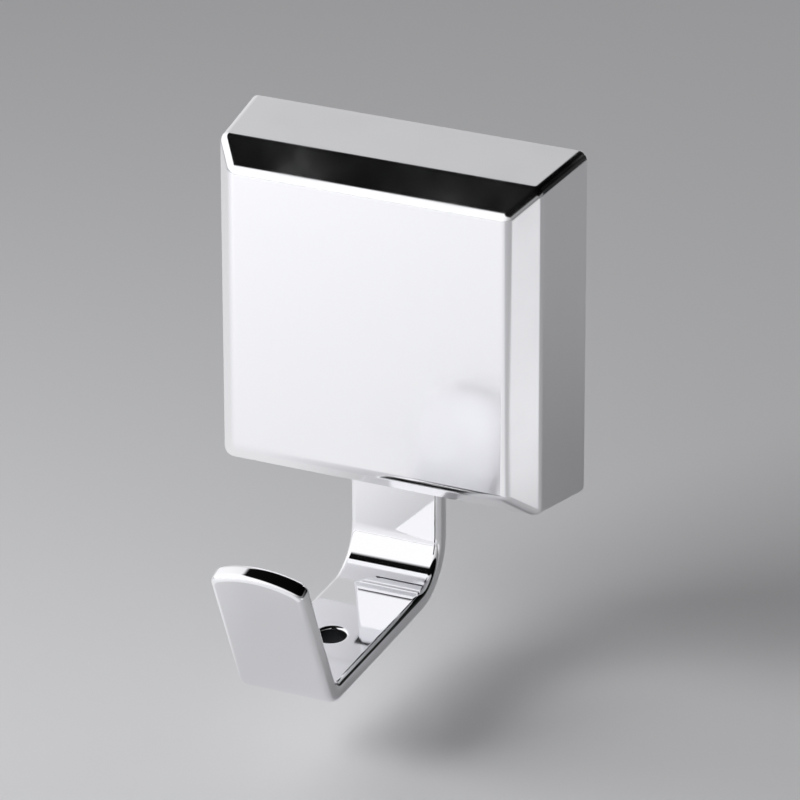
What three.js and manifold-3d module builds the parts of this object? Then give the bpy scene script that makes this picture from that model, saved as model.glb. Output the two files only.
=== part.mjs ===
// A square chrome wall hook that holds itself to a smooth wall by suction.
//
// A soft cup lies on the wall, and a rigid plate presses on its rim. A threaded stud is moulded into
// the middle of the cup. Turning the lock knob on that stud draws the middle of the cup off the wall.
// The flat hook is screwed to the front of the plate and comes out through the underside of a
// square push-on cover that hides the works.
//
// Millimetres, +Z up. The wall is the plane y = 0 and the hook stands in front of it, towards -Y.
// A "depth" is a distance in front of the wall, so depth d lies at y = -d. The origin is where the
// axis of the cup meets the wall. Everything is shown locked, with the cup drawn in.

import * as THREE from 'three';
import { mergeVertices } from 'three/addons/utils/BufferGeometryUtils.js';
import Module from 'manifold-3d';

const wasm = await Module();
wasm.setup();

// Driving dimensions of the cover
const COVER_SIZE = 64;
const COVER_SIDE_DEPTH = 15.1;
const COVER_SIDE_DRAFT = 1.55;
const COVER_BEVEL_DEPTH = 5.05;
const COVER_BEVEL_INSET = 4.2;
const COVER_WALL = 2;
const COVER_CORNER_RADIUS = 1.1;
const COVER_INNER_CORNER_RADIUS = 0.8;
const COVER_EDGE_REACH = 0.9;
const POST_RADIUS = 2.2;
const POST_INSET = 5.9;
const POST_TIP_LIFT = 0.2;
const NOTCH_GAP = 0.4;

// Driving dimensions of the hook
const STRAP_WIDTH = 17.4;
const STRAP_THICKNESS = 3.5;
const STRAP_EDGE_RADIUS = 0.9;
const STRAP_SETBACK = 6;
const BEND_INNER_RADIUS = 8;
const BEND_CENTRE_DROP = 41.15;
const FLOOR_SLOPE = THREE.MathUtils.degToRad(4.2);
const FLOOR_LENGTH = 31.8;
const LIP_INNER_RADIUS = 2;
const LIP_LEAN = THREE.MathUtils.degToRad(24);
const LIP_LENGTH = 26.8;
const LIP_ARCH_RISE = 2.3;
const LIP_CORNER_REACH = 1.6;
const DRAIN_HOLE_RADIUS = 2.6;
const DRAIN_HOLE_RIM = 0.5;
const DRAIN_HOLE_PLACE = 18;
const EYE_RADIUS = 20;

// Driving dimensions of the suction cup
const CUP_CHAMBER_DEPTH = 3.2;
const CUP_DOME_THICKNESS = 1.6;
const CUP_RIM_THICKNESS = 1.2;
const CUP_CONTACT_WIDTH = 3;
const CUP_FLOOR = 1;
const CUP_HUB_WALL = 1.7;
const CUP_HUB_LIP = 0.9;
const CUP_SOFT_REACH = 4;
const TAB_WIDTH = 9;
const TAB_REACH = 6.5;
const TAB_THICKNESS = 0.9;

// Driving dimensions of the pressure plate
const BASE_WEB = 1.9;
const BASE_DOME_CLEARANCE = 0.4;
const BASE_SIDE_GAP = 0.9;
const BASE_SKIRT_WALL = 2.2;
const BASE_BOSS_WALL = 2.7;
const BASE_BOSS_RISE = 0.35;
const EAR_WALL = 2.1;
const PILLAR_WALL = 1.5;
const PILLAR_DROP = 0.8;

// Driving dimensions of the stud, the knob and the small hardware
const THREAD_PITCH = 3;
const THREAD_RADIUS = 5;
const THREAD_HEIGHT = 0.9;
const STUD_FLAT_HALF_WIDTH = 3.7;
const STUD_FLANGE_RADIUS = 7;
const STUD_FLANGE_THICKNESS = 1.1;
const STUD_ENGAGEMENT = 4;
const WASHER_THICKNESS = 0.8;
const INSERT_WALL = 2.8;
const INSERT_KNURL = 0.4;
const INSERT_LENGTH = 5.2;
const KNOB_RADIUS = 20;
const KNOB_DISC_THICKNESS = 2.6;
const KNOB_LOBES = 10;
const KNOB_LOBE_HEIGHT = 1.4;
const KNOB_HUB_WALL = 2.6;
const KNOB_BAR_LENGTH = 34;
const KNOB_BAR_WIDTH = 13;
const KNOB_COVER_GAP = 0.45;
const KNOB_SCREW_GAP = 0.5;
const SCREW_RADIUS = 1.5;
const SCREW_HEAD_RADIUS = 2.8;
const SCREW_HEAD_HEIGHT = 1.75;
const SCREW_LENGTH = 6.6;
const SCREW_POINT = 1.4;
const CROSS_WIDTH = 0.8;
const CROSS_LENGTH = 3.4;
const CROSS_DEPTH = 1.1;

// The gap kept between pieces that touch
const FIT = 0.3;
// How far a cutter runs past the face it opens
const OVERRUN = 1;
// How far joined bodies reach into each other
const WELD = 0.4;

// Smoothness of the round shapes
const ROUND_STEPS = 40;
const CUP_STEPS = 48;
const CORNER_STEPS = 4;
const CURVE_STEPS = 4;
const SMALL_STEPS = 16;
const BEND_STEPS = 9;
const LIP_BEND_STEPS = 6;
const THREAD_SIDES = 24;
const THREAD_STEPS_PER_TURN = 8;
const LOBE_STEPS = 8;
const MERGE_TOLERANCE = 1e-4;
// The most of an edge that the softening of one of its corners may take
const SOFT_SHARE = 0.45;
// The share of the pitch that each crest, flank and root of the thread takes
const THREAD_SHARE = 0.25;

// The stack from the wall forwards
const baseBack = CUP_CHAMBER_DEPTH + CUP_DOME_THICKNESS + BASE_DOME_CLEARANCE;
const baseFront = baseBack + BASE_WEB;
const strapBack = baseFront + FIT;
const strapFront = strapBack + STRAP_THICKNESS;
const strapMiddle = strapBack + STRAP_THICKNESS / 2;
const bossFront = strapFront + BASE_BOSS_RISE;
const washerBack = bossFront + FIT;
const washerFront = washerBack + WASHER_THICKNESS;
const knobHubBack = washerFront + FIT;
const screwHeadBack = strapFront + FIT;
const knobDiscBack = screwHeadBack + SCREW_HEAD_HEIGHT + KNOB_SCREW_GAP;
const coverRear = strapBack - STRAP_SETBACK;
const coverSideEnd = coverRear + COVER_SIDE_DEPTH;
const coverFront = coverSideEnd + COVER_BEVEL_DEPTH;
const coverInnerFront = coverFront - COVER_WALL;
const knobFront = coverInnerFront - KNOB_COVER_GAP;
const insertFront = knobHubBack + INSERT_LENGTH;
const pocketBack = CUP_CHAMBER_DEPTH + CUP_FLOOR;
const flangeBack = pocketBack + FIT;
const flangeFront = flangeBack + STUD_FLANGE_THICKNESS;
const pocketFront = flangeFront + FIT;
const cupHubFront = pocketFront + CUP_HUB_LIP;
const studTip = knobHubBack + STUD_ENGAGEMENT;

// Radii and half widths that follow from the sizes above
const coverRearHalf = COVER_SIZE / 2;
const coverSideEndHalf = coverRearHalf - COVER_SIDE_DRAFT;
const coverFrontHalf = coverSideEndHalf - COVER_BEVEL_INSET;
const coverInnerHalfAt = (depth) => (
  coverRearHalf - COVER_WALL - COVER_SIDE_DRAFT * (depth - coverRear) / COVER_SIDE_DEPTH
);
const coverInnerFrontHalf = coverInnerHalfAt(coverSideEnd)
  - COVER_BEVEL_INSET * (COVER_BEVEL_DEPTH - COVER_WALL) / COVER_BEVEL_DEPTH;
const baseRadius = coverInnerHalfAt(baseFront) - BASE_SIDE_GAP;
const cupRadius = baseRadius;
const cupContactInner = cupRadius - CUP_CONTACT_WIDTH;
const pocketRadius = STUD_FLANGE_RADIUS + FIT;
const cupHubRadius = pocketRadius + CUP_HUB_WALL;
const recessRadius = cupHubRadius + FIT;
const bossRadius = recessRadius + BASE_BOSS_WALL;
const eyeHoleRadius = bossRadius + FIT;
const screwCircle = (eyeHoleRadius + EYE_RADIUS) / 2;
const screwHoleRadius = SCREW_RADIUS + FIT;
const postPlace = coverInnerHalfAt(baseFront) - POST_INSET;
const earHoleRadius = POST_RADIUS + FIT;
const earRadius = earHoleRadius + EAR_WALL;
const studHoleRadius = THREAD_RADIUS + FIT;
const studHoleHalfWidth = STUD_FLAT_HALF_WIDTH + FIT;
const insertRadius = THREAD_RADIUS + INSERT_WALL;
const knobBoreRadius = insertRadius + FIT;
const knobHubRadius = knobBoreRadius + KNOB_HUB_WALL;

const QUARTER = Math.PI / 2;
const DIAGONALS = [0, 1, 2, 3].map((quarter) => (quarter + 0.5) * QUARTER);
const CORNERS = [[1, 1], [-1, 1], [-1, -1], [1, -1]];

const plastic = (color) => new THREE.MeshStandardMaterial({ color, roughness: 0.45, metalness: 0 });
const metal = (color, roughness) => new THREE.MeshStandardMaterial({ color, roughness, metalness: 1 });

const chromedPlastic = metal('#e8eaec', 0.06);
const chromedZinc = metal('#e2e4e8', 0.08);
const screwSteel = metal('#b9bcc0', 0.3);
const studSteel = metal('#a7abb0', 0.35);
const brass = metal('#c8a04a', 0.3);
const darkPlastic = plastic('#3b3d40');
const greyPlastic = plastic('#9a9da1');
const slipPlastic = plastic('#ece8dc');
const clearRubber = new THREE.MeshStandardMaterial({
  color: '#cfd6da', roughness: 0.25, metalness: 0, transparent: true, opacity: 0.6,
});

// Turns a closed geometry into a solid that can be joined and cut.
function solidOf(geometry) {
  const bare = geometry.clone();
  bare.deleteAttribute('normal');
  bare.deleteAttribute('uv');
  const merged = mergeVertices(bare, MERGE_TOLERANCE);
  const position = merged.attributes.position;
  const corners = merged.index.array;
  const faces = [];
  const [a, b, c] = [new THREE.Vector3(), new THREE.Vector3(), new THREE.Vector3()];
  let signedVolume = 0;
  for (let i = 0; i < corners.length; i += 3) {
    const [first, second, third] = corners.slice(i, i + 3);
    if (first === second || second === third || third === first) continue;
    faces.push([first, second, third]);
    a.fromBufferAttribute(position, first);
    b.fromBufferAttribute(position, second);
    c.fromBufferAttribute(position, third);
    signedVolume += a.dot(b.cross(c));
  }
  const outward = signedVolume > 0 ? faces : faces.map((face) => face.reverse());
  return new wasm.Manifold(new wasm.Mesh({
    numProp: 3,
    vertProperties: new Float32Array(position.array),
    triVerts: new Uint32Array(outward.flat()),
  }));
}

// Makes a named mesh of a finished solid.
function piece(name, solid, material) {
  const { vertProperties, triVerts } = solid.getMesh();
  const geometry = new THREE.BufferGeometry();
  geometry.setAttribute('position', new THREE.BufferAttribute(vertProperties, 3));
  geometry.setIndex(new THREE.BufferAttribute(triVerts, 1));
  geometry.computeVertexNormals();
  const mesh = new THREE.Mesh(geometry, material);
  mesh.name = name;
  return mesh;
}

const joined = (first, ...others) => others.reduce((whole, other) => whole.add(other), first);
const cut = (first, ...others) => others.reduce((whole, other) => whole.subtract(other), first);

// A solid through a row of rings that all have the same number of points, closed by fans at its ends.
function loft(rings) {
  const count = rings[0].length;
  const points = rings.flat();
  const faces = [];
  for (let ring = 0; ring + 1 < rings.length; ring += 1) {
    for (let side = 0; side < count; side += 1) {
      const near = ring * count + side;
      const nearNext = ring * count + (side + 1) % count;
      faces.push(near, nearNext, nearNext + count, near, nearNext + count, near + count);
    }
  }
  const middleOf = (ring) => ring.reduce((sum, point) => sum.add(point), new THREE.Vector3())
    .divideScalar(count);
  const firstMiddle = points.push(middleOf(rings[0])) - 1;
  const lastMiddle = points.push(middleOf(rings.at(-1))) - 1;
  const lastRing = (rings.length - 1) * count;
  for (let side = 0; side < count; side += 1) {
    const next = (side + 1) % count;
    faces.push(firstMiddle, next, side);
    faces.push(lastMiddle, lastRing + side, lastRing + next);
  }
  const geometry = new THREE.BufferGeometry().setFromPoints(points);
  geometry.setIndex(faces);
  return solidOf(geometry);
}

// A solid turned about the axis of the cup, from [radius, depth] points.
function turned(profile, steps = ROUND_STEPS) {
  const points = profile.map(([radius, depth]) => new THREE.Vector2(radius, depth));
  return solidOf(new THREE.LatheGeometry(points, steps).rotateX(Math.PI));
}

const disc = (radius, back, front, steps = ROUND_STEPS) => (
  turned([[0, back], [radius, back], [radius, front], [0, front]], steps)
);

// A front-view outline given a thickness between two depths.
function plate(shape, back, front) {
  const geometry = new THREE.ExtrudeGeometry(shape, {
    depth: front - back, bevelEnabled: false, curveSegments: CORNER_STEPS * 2,
  });
  return solidOf(geometry.translate(0, 0, back).rotateX(QUARTER));
}

function block(width, height, back, front) {
  const geometry = new THREE.BoxGeometry(width, front - back, height);
  return solidOf(geometry.translate(0, -(front + back) / 2, 0));
}

const moved = (solid, across, up) => solid.translate([across, 0, up]);
const aroundAxis = (solid, angle) => solid.rotate([0, -THREE.MathUtils.radToDeg(angle), 0]);

// The points of a line whose inner corners are softened, as [x, y] pairs.
function softened(corners, reach, steps = CURVE_STEPS) {
  const at = corners.map(([x, y]) => new THREE.Vector2(x, y));
  const towards = (from, to) => {
    const share = Math.min(reach / from.distanceTo(to), SOFT_SHARE);
    return from.clone().lerp(to, share);
  };
  const path = new THREE.Path().moveTo(at[0].x, at[0].y);
  for (let i = 1; i + 1 < at.length; i += 1) {
    const start = towards(at[i], at[i - 1]);
    const end = towards(at[i], at[i + 1]);
    path.lineTo(start.x, start.y);
    path.quadraticCurveTo(at[i].x, at[i].y, end.x, end.y);
  }
  path.lineTo(at.at(-1).x, at.at(-1).y);
  return path.getPoints(steps).map(({ x, y }) => [x, y]);
}

// The outline of a rectangle with round corners, as [across, up] pairs.
function roundedRectangle(halfWidth, halfHeight, radius) {
  return CORNERS.flatMap(([right, top], quarter) => (
    Array.from({ length: CORNER_STEPS + 1 }, (_, step) => {
      const angle = (quarter + step / CORNER_STEPS) * QUARTER;
      return [
        right * (halfWidth - radius) + radius * Math.cos(angle),
        top * (halfHeight - radius) + radius * Math.sin(angle),
      ];
    })
  ));
}

// A body of square sections with round corners, from [half width, depth] points.
function squareLoft(profile, cornerRadius) {
  return loft(profile.map(([half, depth]) => (
    roundedRectangle(half, half, cornerRadius).map(([x, z]) => new THREE.Vector3(x, -depth, z))
  )));
}

// A copy of a solid at each corner of the square that the cover posts stand on.
const atPosts = (solid) => CORNERS.map(([right, top]) => moved(solid, right * postPlace, top * postPlace));

// A copy of a solid at each hook screw.
const atScrews = (solid) => DIAGONALS.map((angle) => (
  moved(solid, screwCircle * Math.cos(angle), screwCircle * Math.sin(angle))
));

// Square cover: drafted sides, a wide bevel and a flat front, hollow and open at the rear.
function coverShell() {
  const outside = squareLoft(softened([
    [coverRearHalf, coverRear],
    [coverSideEndHalf, coverSideEnd],
    [coverFrontHalf, coverFront],
    [coverFrontHalf - COVER_CORNER_RADIUS, coverFront],
  ], COVER_EDGE_REACH), COVER_CORNER_RADIUS);
  const inside = squareLoft([
    [coverInnerHalfAt(coverRear - OVERRUN), coverRear - OVERRUN],
    [coverInnerHalfAt(coverSideEnd), coverSideEnd],
    [coverInnerFrontHalf, coverInnerFront],
  ], COVER_INNER_CORNER_RADIUS);
  const notchWidth = STRAP_WIDTH + 2 * NOTCH_GAP;
  const notch = block(notchWidth, coverRearHalf, coverRear - OVERRUN, strapFront + NOTCH_GAP);
  const hollow = cut(outside, inside, moved(notch, 0, -coverRearHalf));
  const post = disc(POST_RADIUS, baseBack + POST_TIP_LIFT, coverInnerFront + WELD, SMALL_STEPS);
  return joined(hollow, ...atPosts(post));
}

// Side view of the strap's middle line, as places with a heading measured from straight forwards.
function strapLine() {
  const places = [];
  const place = new THREE.Vector2(strapMiddle, -EYE_RADIUS / 2);
  let heading = -QUARTER;
  const mark = () => places.push({ depth: place.x, height: place.y, heading });
  const run = (length) => {
    place.x += length * Math.cos(heading);
    place.y += length * Math.sin(heading);
    mark();
  };
  const bend = (radius, turn, steps) => {
    const centre = new THREE.Vector2(
      place.x - radius * Math.sin(heading),
      place.y + radius * Math.cos(heading),
    );
    const start = heading;
    for (let step = 1; step <= steps; step += 1) {
      heading = start + turn * step / steps;
      place.x = centre.x + radius * Math.sin(heading);
      place.y = centre.y - radius * Math.cos(heading);
      mark();
    }
  };
  mark();
  run(BEND_CENTRE_DROP - EYE_RADIUS / 2);
  bend(BEND_INNER_RADIUS + STRAP_THICKNESS / 2, QUARTER - FLOOR_SLOPE, BEND_STEPS);
  const floorStart = place.clone();
  run(FLOOR_LENGTH);
  bend(LIP_INNER_RADIUS + STRAP_THICKNESS / 2, QUARTER - LIP_LEAN + FLOOR_SLOPE, LIP_BEND_STEPS);
  return { places, floorStart, lipStart: place.clone(), lipHeading: heading };
}

// Half widths of the lip near its arched tip, with the distance of each below the tip.
function lipOutline() {
  const halfWidth = STRAP_WIDTH / 2;
  const corner = new THREE.Vector2(halfWidth, LIP_ARCH_RISE);
  const archControl = new THREE.Vector2(halfWidth / 2, 0);
  const archEnd = corner.clone().lerp(archControl, LIP_CORNER_REACH / corner.distanceTo(archControl));
  const path = new THREE.Path().moveTo(0, 0);
  path.quadraticCurveTo(archControl.x, archControl.y, archEnd.x, archEnd.y);
  path.quadraticCurveTo(corner.x, corner.y, corner.x, corner.y + LIP_CORNER_REACH);
  return path.getPoints(CURVE_STEPS * 2).slice(1).reverse();
}

// One cross-section of the strap, set square to the heading of its middle line.
function strapSection({ depth, height, heading }, halfWidth, halfThickness) {
  const radius = Math.min(STRAP_EDGE_RADIUS, halfWidth, halfThickness);
  return roundedRectangle(halfWidth, halfThickness, radius).map(([across, out]) => new THREE.Vector3(
    across,
    -(depth - out * Math.sin(heading)),
    height + out * Math.cos(heading),
  ));
}

function hook() {
  const { places, floorStart, lipStart, lipHeading } = strapLine();
  const halfThickness = STRAP_THICKNESS / 2;
  const sections = places.map((place) => strapSection(place, STRAP_WIDTH / 2, halfThickness));
  for (const { x: halfWidth, y: belowTip } of lipOutline()) {
    const along = LIP_LENGTH - belowTip;
    const place = {
      depth: lipStart.x + along * Math.cos(lipHeading),
      height: lipStart.y + along * Math.sin(lipHeading),
      heading: lipHeading,
    };
    const rounding = Math.max(STRAP_EDGE_RADIUS - belowTip, 0);
    const roundedOff = STRAP_EDGE_RADIUS - Math.sqrt(STRAP_EDGE_RADIUS ** 2 - rounding ** 2);
    sections.push(strapSection(place, halfWidth, halfThickness - roundedOff));
  }
  const strap = loft(sections);
  const eye = disc(EYE_RADIUS, strapBack, strapFront);
  const eyeHole = disc(eyeHoleRadius, strapBack - OVERRUN, strapFront + OVERRUN);
  const screwHole = disc(screwHoleRadius, strapBack - OVERRUN, strapFront + OVERRUN, SMALL_STEPS);
  return cut(joined(strap, eye), eyeHole, ...atScrews(screwHole), drainHole(floorStart));
}

// Drain hole with a chamfered rim, square to the sloping floor of the hook.
function drainHole(floorStart) {
  const through = new THREE.CylinderGeometry(
    DRAIN_HOLE_RADIUS, DRAIN_HOLE_RADIUS, STRAP_THICKNESS + 2 * OVERRUN, ROUND_STEPS / 2,
  );
  const rim = new THREE.CylinderGeometry(
    DRAIN_HOLE_RADIUS + 2 * DRAIN_HOLE_RIM, DRAIN_HOLE_RADIUS, 2 * DRAIN_HOLE_RIM, ROUND_STEPS / 2,
  ).translate(0, STRAP_THICKNESS / 2, 0);
  const cutter = joined(solidOf(through.rotateX(QUARTER)), solidOf(rim.rotateX(QUARTER)));
  const depth = floorStart.x + DRAIN_HOLE_PLACE * Math.cos(FLOOR_SLOPE);
  const height = floorStart.y - DRAIN_HOLE_PLACE * Math.sin(FLOOR_SLOPE);
  return cutter.rotate([THREE.MathUtils.radToDeg(FLOOR_SLOPE), 0, 0]).translate([0, -depth, height]);
}

// The hole that guides the stud and its two flats.
function studHole(back, front) {
  const square = block(2 * studHoleHalfWidth, 2 * studHoleRadius + OVERRUN, back, front);
  return disc(studHoleRadius, back, front).intersect(square);
}

// An arm of the pressure plate that holds one post of the cover.
function ear(angle) {
  const reach = postPlace * Math.SQRT2;
  const arm = new THREE.Shape([
    new THREE.Vector2(0, -earRadius),
    new THREE.Vector2(reach, -earRadius),
    new THREE.Vector2(reach, earRadius),
    new THREE.Vector2(0, earRadius),
  ]);
  const end = moved(disc(earRadius, baseBack, baseFront, ROUND_STEPS / 2), reach, 0);
  return aroundAxis(joined(plate(arm, baseBack, baseFront), end), angle);
}

// Pressure plate: a web with four ears, a skirt that presses on the cup, a boss that carries the knob.
function basePlate() {
  const skirtBack = CUP_RIM_THICKNESS + FIT;
  const web = disc(baseRadius, baseBack, baseFront, CUP_STEPS);
  const skirt = turned([
    [baseRadius - BASE_SKIRT_WALL, skirtBack],
    [baseRadius, skirtBack],
    [baseRadius, baseBack + WELD],
    [baseRadius - BASE_SKIRT_WALL, baseBack + WELD],
    [baseRadius - BASE_SKIRT_WALL, skirtBack],
  ], CUP_STEPS);
  const boss = disc(bossRadius, baseBack, bossFront);
  const pillar = disc(screwHoleRadius + PILLAR_WALL, baseBack - PILLAR_DROP, baseBack + WELD, SMALL_STEPS);
  const pilot = disc(screwHoleRadius, baseBack - PILLAR_DROP - OVERRUN, baseFront + OVERRUN, SMALL_STEPS);
  const postHole = disc(earHoleRadius, baseBack - OVERRUN, baseFront + OVERRUN, SMALL_STEPS);
  const body = joined(web, skirt, boss, ...DIAGONALS.map(ear), ...atScrews(pillar));
  const recess = disc(recessRadius, baseBack - OVERRUN, cupHubFront + FIT);
  const guide = studHole(baseBack, bossFront + OVERRUN);
  return cut(body, recess, guide, ...atScrews(pilot), ...atPosts(postHole));
}

// Suction cup, drawn in: a contact rim, a thin dome and a hub that holds the flange of the stud.
function suctionCup() {
  const wallSide = softened([
    [0, CUP_CHAMBER_DEPTH],
    [cupHubRadius, CUP_CHAMBER_DEPTH],
    [cupContactInner, 0],
    [cupRadius, 0],
  ], CUP_SOFT_REACH);
  const roomSide = softened([
    [cupRadius, CUP_RIM_THICKNESS],
    [cupContactInner, CUP_RIM_THICKNESS],
    [cupHubRadius, CUP_CHAMBER_DEPTH + CUP_DOME_THICKNESS],
    [cupHubRadius, cupHubFront],
  ], CUP_RIM_THICKNESS);
  const pocket = [
    [studHoleRadius, cupHubFront],
    [studHoleRadius, pocketFront],
    [pocketRadius, pocketFront],
    [pocketRadius, pocketBack],
    [0, pocketBack],
  ];
  const cup = turned([...wallSide, ...roomSide, ...pocket], CUP_STEPS);
  return joined(cup, releaseTab());
}

// The tongue on the rim that lets air in under the cup.
function releaseTab() {
  const reach = cupRadius + TAB_REACH - TAB_WIDTH / 2;
  const tongue = new THREE.Shape();
  tongue.moveTo(cupRadius - CUP_CONTACT_WIDTH / 2, -TAB_WIDTH / 2);
  tongue.lineTo(reach, -TAB_WIDTH / 2);
  tongue.absarc(reach, 0, TAB_WIDTH / 2, -QUARTER, QUARTER, false);
  tongue.lineTo(cupRadius - CUP_CONTACT_WIDTH / 2, TAB_WIDTH / 2);
  const back = (CUP_RIM_THICKNESS - TAB_THICKNESS) / 2;
  return aroundAxis(plate(tongue, back, back + TAB_THICKNESS), DIAGONALS[1]);
}

// How high a right-hand thread stands, from 0 at its roots to 1 at its crests.
function threadHeight(turns) {
  const fromCrest = Math.abs(turns - Math.floor(turns) - 0.5);
  return THREE.MathUtils.clamp((0.5 - THREAD_SHARE / 2 - fromCrest) / THREAD_SHARE, 0, 1);
}

// A threaded rod that reaches at least from back to front. Its rings lie at whole steps of the pitch
// from the wall, so that the threads of two pieces match facet for facet.
function threadedBody(back, front, clearance) {
  const rise = THREAD_PITCH / THREAD_STEPS_PER_TURN;
  const firstStep = Math.floor(back / rise);
  const lastStep = Math.ceil(front / rise);
  const rings = Array.from({ length: lastStep - firstStep + 1 }, (_, step) => {
    const depth = (firstStep + step) * rise;
    return Array.from({ length: THREAD_SIDES }, (__, side) => {
      const turn = side / THREAD_SIDES;
      const crest = threadHeight(depth / THREAD_PITCH - turn);
      const radius = THREAD_RADIUS - THREAD_HEIGHT * (1 - crest) + clearance;
      const angle = turn * 2 * Math.PI;
      return new THREE.Vector3(radius * Math.cos(angle), -depth, radius * Math.sin(angle));
    });
  });
  return loft(rings);
}

// Stud with two flats along its length, which slide in the boss and keep it from turning.
function cupStud() {
  const flats = block(2 * STUD_FLAT_HALF_WIDTH, 2 * studHoleRadius, flangeBack + WELD, studTip);
  const shank = threadedBody(flangeBack, studTip, 0).intersect(flats);
  return joined(shank, disc(STUD_FLANGE_RADIUS, flangeBack, flangeFront));
}

function thrustWasher() {
  return turned([
    [studHoleRadius, washerBack],
    [bossRadius, washerBack],
    [bossRadius, washerFront],
    [studHoleRadius, washerFront],
    [studHoleRadius, washerBack],
  ]);
}

// Threaded insert with a straight knurl that keeps it from turning in the knob.
function knobInsert() {
  const teeth = 2 * THREAD_SIDES;
  const outline = Array.from({ length: teeth }, (_, tooth) => {
    const angle = 2 * Math.PI * tooth / teeth;
    const radius = insertRadius - INSERT_KNURL * (tooth % 2);
    return new THREE.Vector2(radius * Math.cos(angle), radius * Math.sin(angle));
  });
  const body = plate(new THREE.Shape(outline), knobHubBack, insertFront);
  return cut(body, threadedBody(knobHubBack - OVERRUN, insertFront + OVERRUN, FIT));
}

// Lock knob: a lobed disc with a grip bar across its front and a hub that bears on the washer.
function lockKnob() {
  const lobeSteps = KNOB_LOBES * LOBE_STEPS;
  const outline = Array.from({ length: lobeSteps }, (_, step) => {
    const angle = 2 * Math.PI * step / lobeSteps;
    const radius = KNOB_RADIUS - KNOB_LOBE_HEIGHT * (1 - Math.cos(KNOB_LOBES * angle)) / 2;
    return new THREE.Vector2(radius * Math.cos(angle), radius * Math.sin(angle));
  });
  const discFront = knobDiscBack + KNOB_DISC_THICKNESS;
  const lobedDisc = plate(new THREE.Shape(outline), knobDiscBack, discFront);
  const hub = disc(knobHubRadius, knobHubBack, knobDiscBack + WELD);
  const barOutline = roundedRectangle(KNOB_BAR_LENGTH / 2, KNOB_BAR_WIDTH / 2, KNOB_BAR_WIDTH / 2);
  const barShape = new THREE.Shape(barOutline.map(([x, y]) => new THREE.Vector2(x, y)));
  const bar = plate(barShape, discFront - WELD, knobFront);
  const crown = disc(knobHubRadius, discFront - WELD, knobFront);
  const bore = disc(knobBoreRadius, knobHubBack - OVERRUN, insertFront + FIT);
  return cut(joined(lobedDisc, hub, bar, crown), bore);
}

// Pan-head screw with a cross recess.
function hookScrew() {
  const headFront = screwHeadBack + SCREW_HEAD_HEIGHT;
  const tip = screwHeadBack - SCREW_LENGTH;
  const dome = softened([
    [SCREW_HEAD_RADIUS, screwHeadBack],
    [SCREW_HEAD_RADIUS, headFront],
    [0, headFront],
  ], SCREW_HEAD_HEIGHT / 2);
  const body = turned([
    [0, tip],
    [SCREW_RADIUS, tip + SCREW_POINT],
    [SCREW_RADIUS, screwHeadBack],
    ...dome,
  ], SMALL_STEPS);
  const recessBack = headFront - CROSS_DEPTH;
  return cut(
    body,
    block(CROSS_WIDTH, CROSS_LENGTH, recessBack, headFront + OVERRUN),
    block(CROSS_LENGTH, CROSS_WIDTH, recessBack, headFront + OVERRUN),
  );
}

const wallHook = new THREE.Group();
wallHook.name = 'wall_hook';
wallHook.add(
  piece('cover_shell', coverShell(), chromedPlastic),
  piece('hook', hook(), chromedZinc),
  piece('base_plate', basePlate(), darkPlastic),
  piece('suction_cup', suctionCup(), clearRubber),
  piece('cup_stud', cupStud(), studSteel),
  piece('thrust_washer', thrustWasher(), slipPlastic),
  piece('lock_knob', lockKnob(), greyPlastic),
  piece('knob_insert', knobInsert(), brass),
);

const screw = hookScrew();
DIAGONALS.forEach((angle, index) => {
  const mesh = piece(`hook_screw_${index + 1}`, screw, screwSteel);
  mesh.position.set(screwCircle * Math.cos(angle), 0, screwCircle * Math.sin(angle));
  wallHook.add(mesh);
});

export default wallHook;
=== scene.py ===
"""Models the looks of a square chrome wall hook around its packed frame."""

import math

import bmesh
import bpy
from mathutils import Matrix, Vector


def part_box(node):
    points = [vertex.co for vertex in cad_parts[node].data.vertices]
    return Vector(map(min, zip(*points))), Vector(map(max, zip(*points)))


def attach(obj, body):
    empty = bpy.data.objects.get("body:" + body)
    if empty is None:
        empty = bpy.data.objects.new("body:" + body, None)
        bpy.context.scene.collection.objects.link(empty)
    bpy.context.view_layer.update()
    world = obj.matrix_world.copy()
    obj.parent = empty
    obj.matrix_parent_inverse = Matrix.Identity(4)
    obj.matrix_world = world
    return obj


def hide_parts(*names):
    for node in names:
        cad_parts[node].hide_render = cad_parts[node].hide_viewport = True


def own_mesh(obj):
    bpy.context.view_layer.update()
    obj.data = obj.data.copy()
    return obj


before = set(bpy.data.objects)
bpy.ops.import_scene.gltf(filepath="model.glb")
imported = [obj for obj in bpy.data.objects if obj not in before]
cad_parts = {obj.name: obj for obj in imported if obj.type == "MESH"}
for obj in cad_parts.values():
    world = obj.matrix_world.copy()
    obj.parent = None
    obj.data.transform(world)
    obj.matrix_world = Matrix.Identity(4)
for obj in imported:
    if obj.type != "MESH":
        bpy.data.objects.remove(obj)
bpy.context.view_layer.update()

bl_info = {
    "name": "Wall Hook",
    "version": (1, 0, 0),
    "blender": (4, 5, 0),
    "location": "View3D > Sidebar > Wall Hook",
    "description": "Models a chrome wall hook that a suction cup holds, piece by piece",
    "category": "Add Mesh",
}

MM = 0.001

# Places that the frame gives: the wall is the plane y = 0, and depth is counted from it to the front.
COVER_LOW, COVER_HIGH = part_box("cover_shell")
HOOK_LOW, HOOK_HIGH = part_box("hook")
PLATE_LOW, PLATE_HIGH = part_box("base_plate")
KNOB_LOW, KNOB_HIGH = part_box("lock_knob")
WASHER_LOW, WASHER_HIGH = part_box("thrust_washer")
SCREW_LOW, SCREW_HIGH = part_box("hook_screw_1")
SCREW_NODES = ["hook_screw_1", "hook_screw_2", "hook_screw_3", "hook_screw_4"]
COVER_REAR, COVER_FRONT = -COVER_HIGH.y, -COVER_LOW.y
COVER_HALF = COVER_HIGH.x

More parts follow.
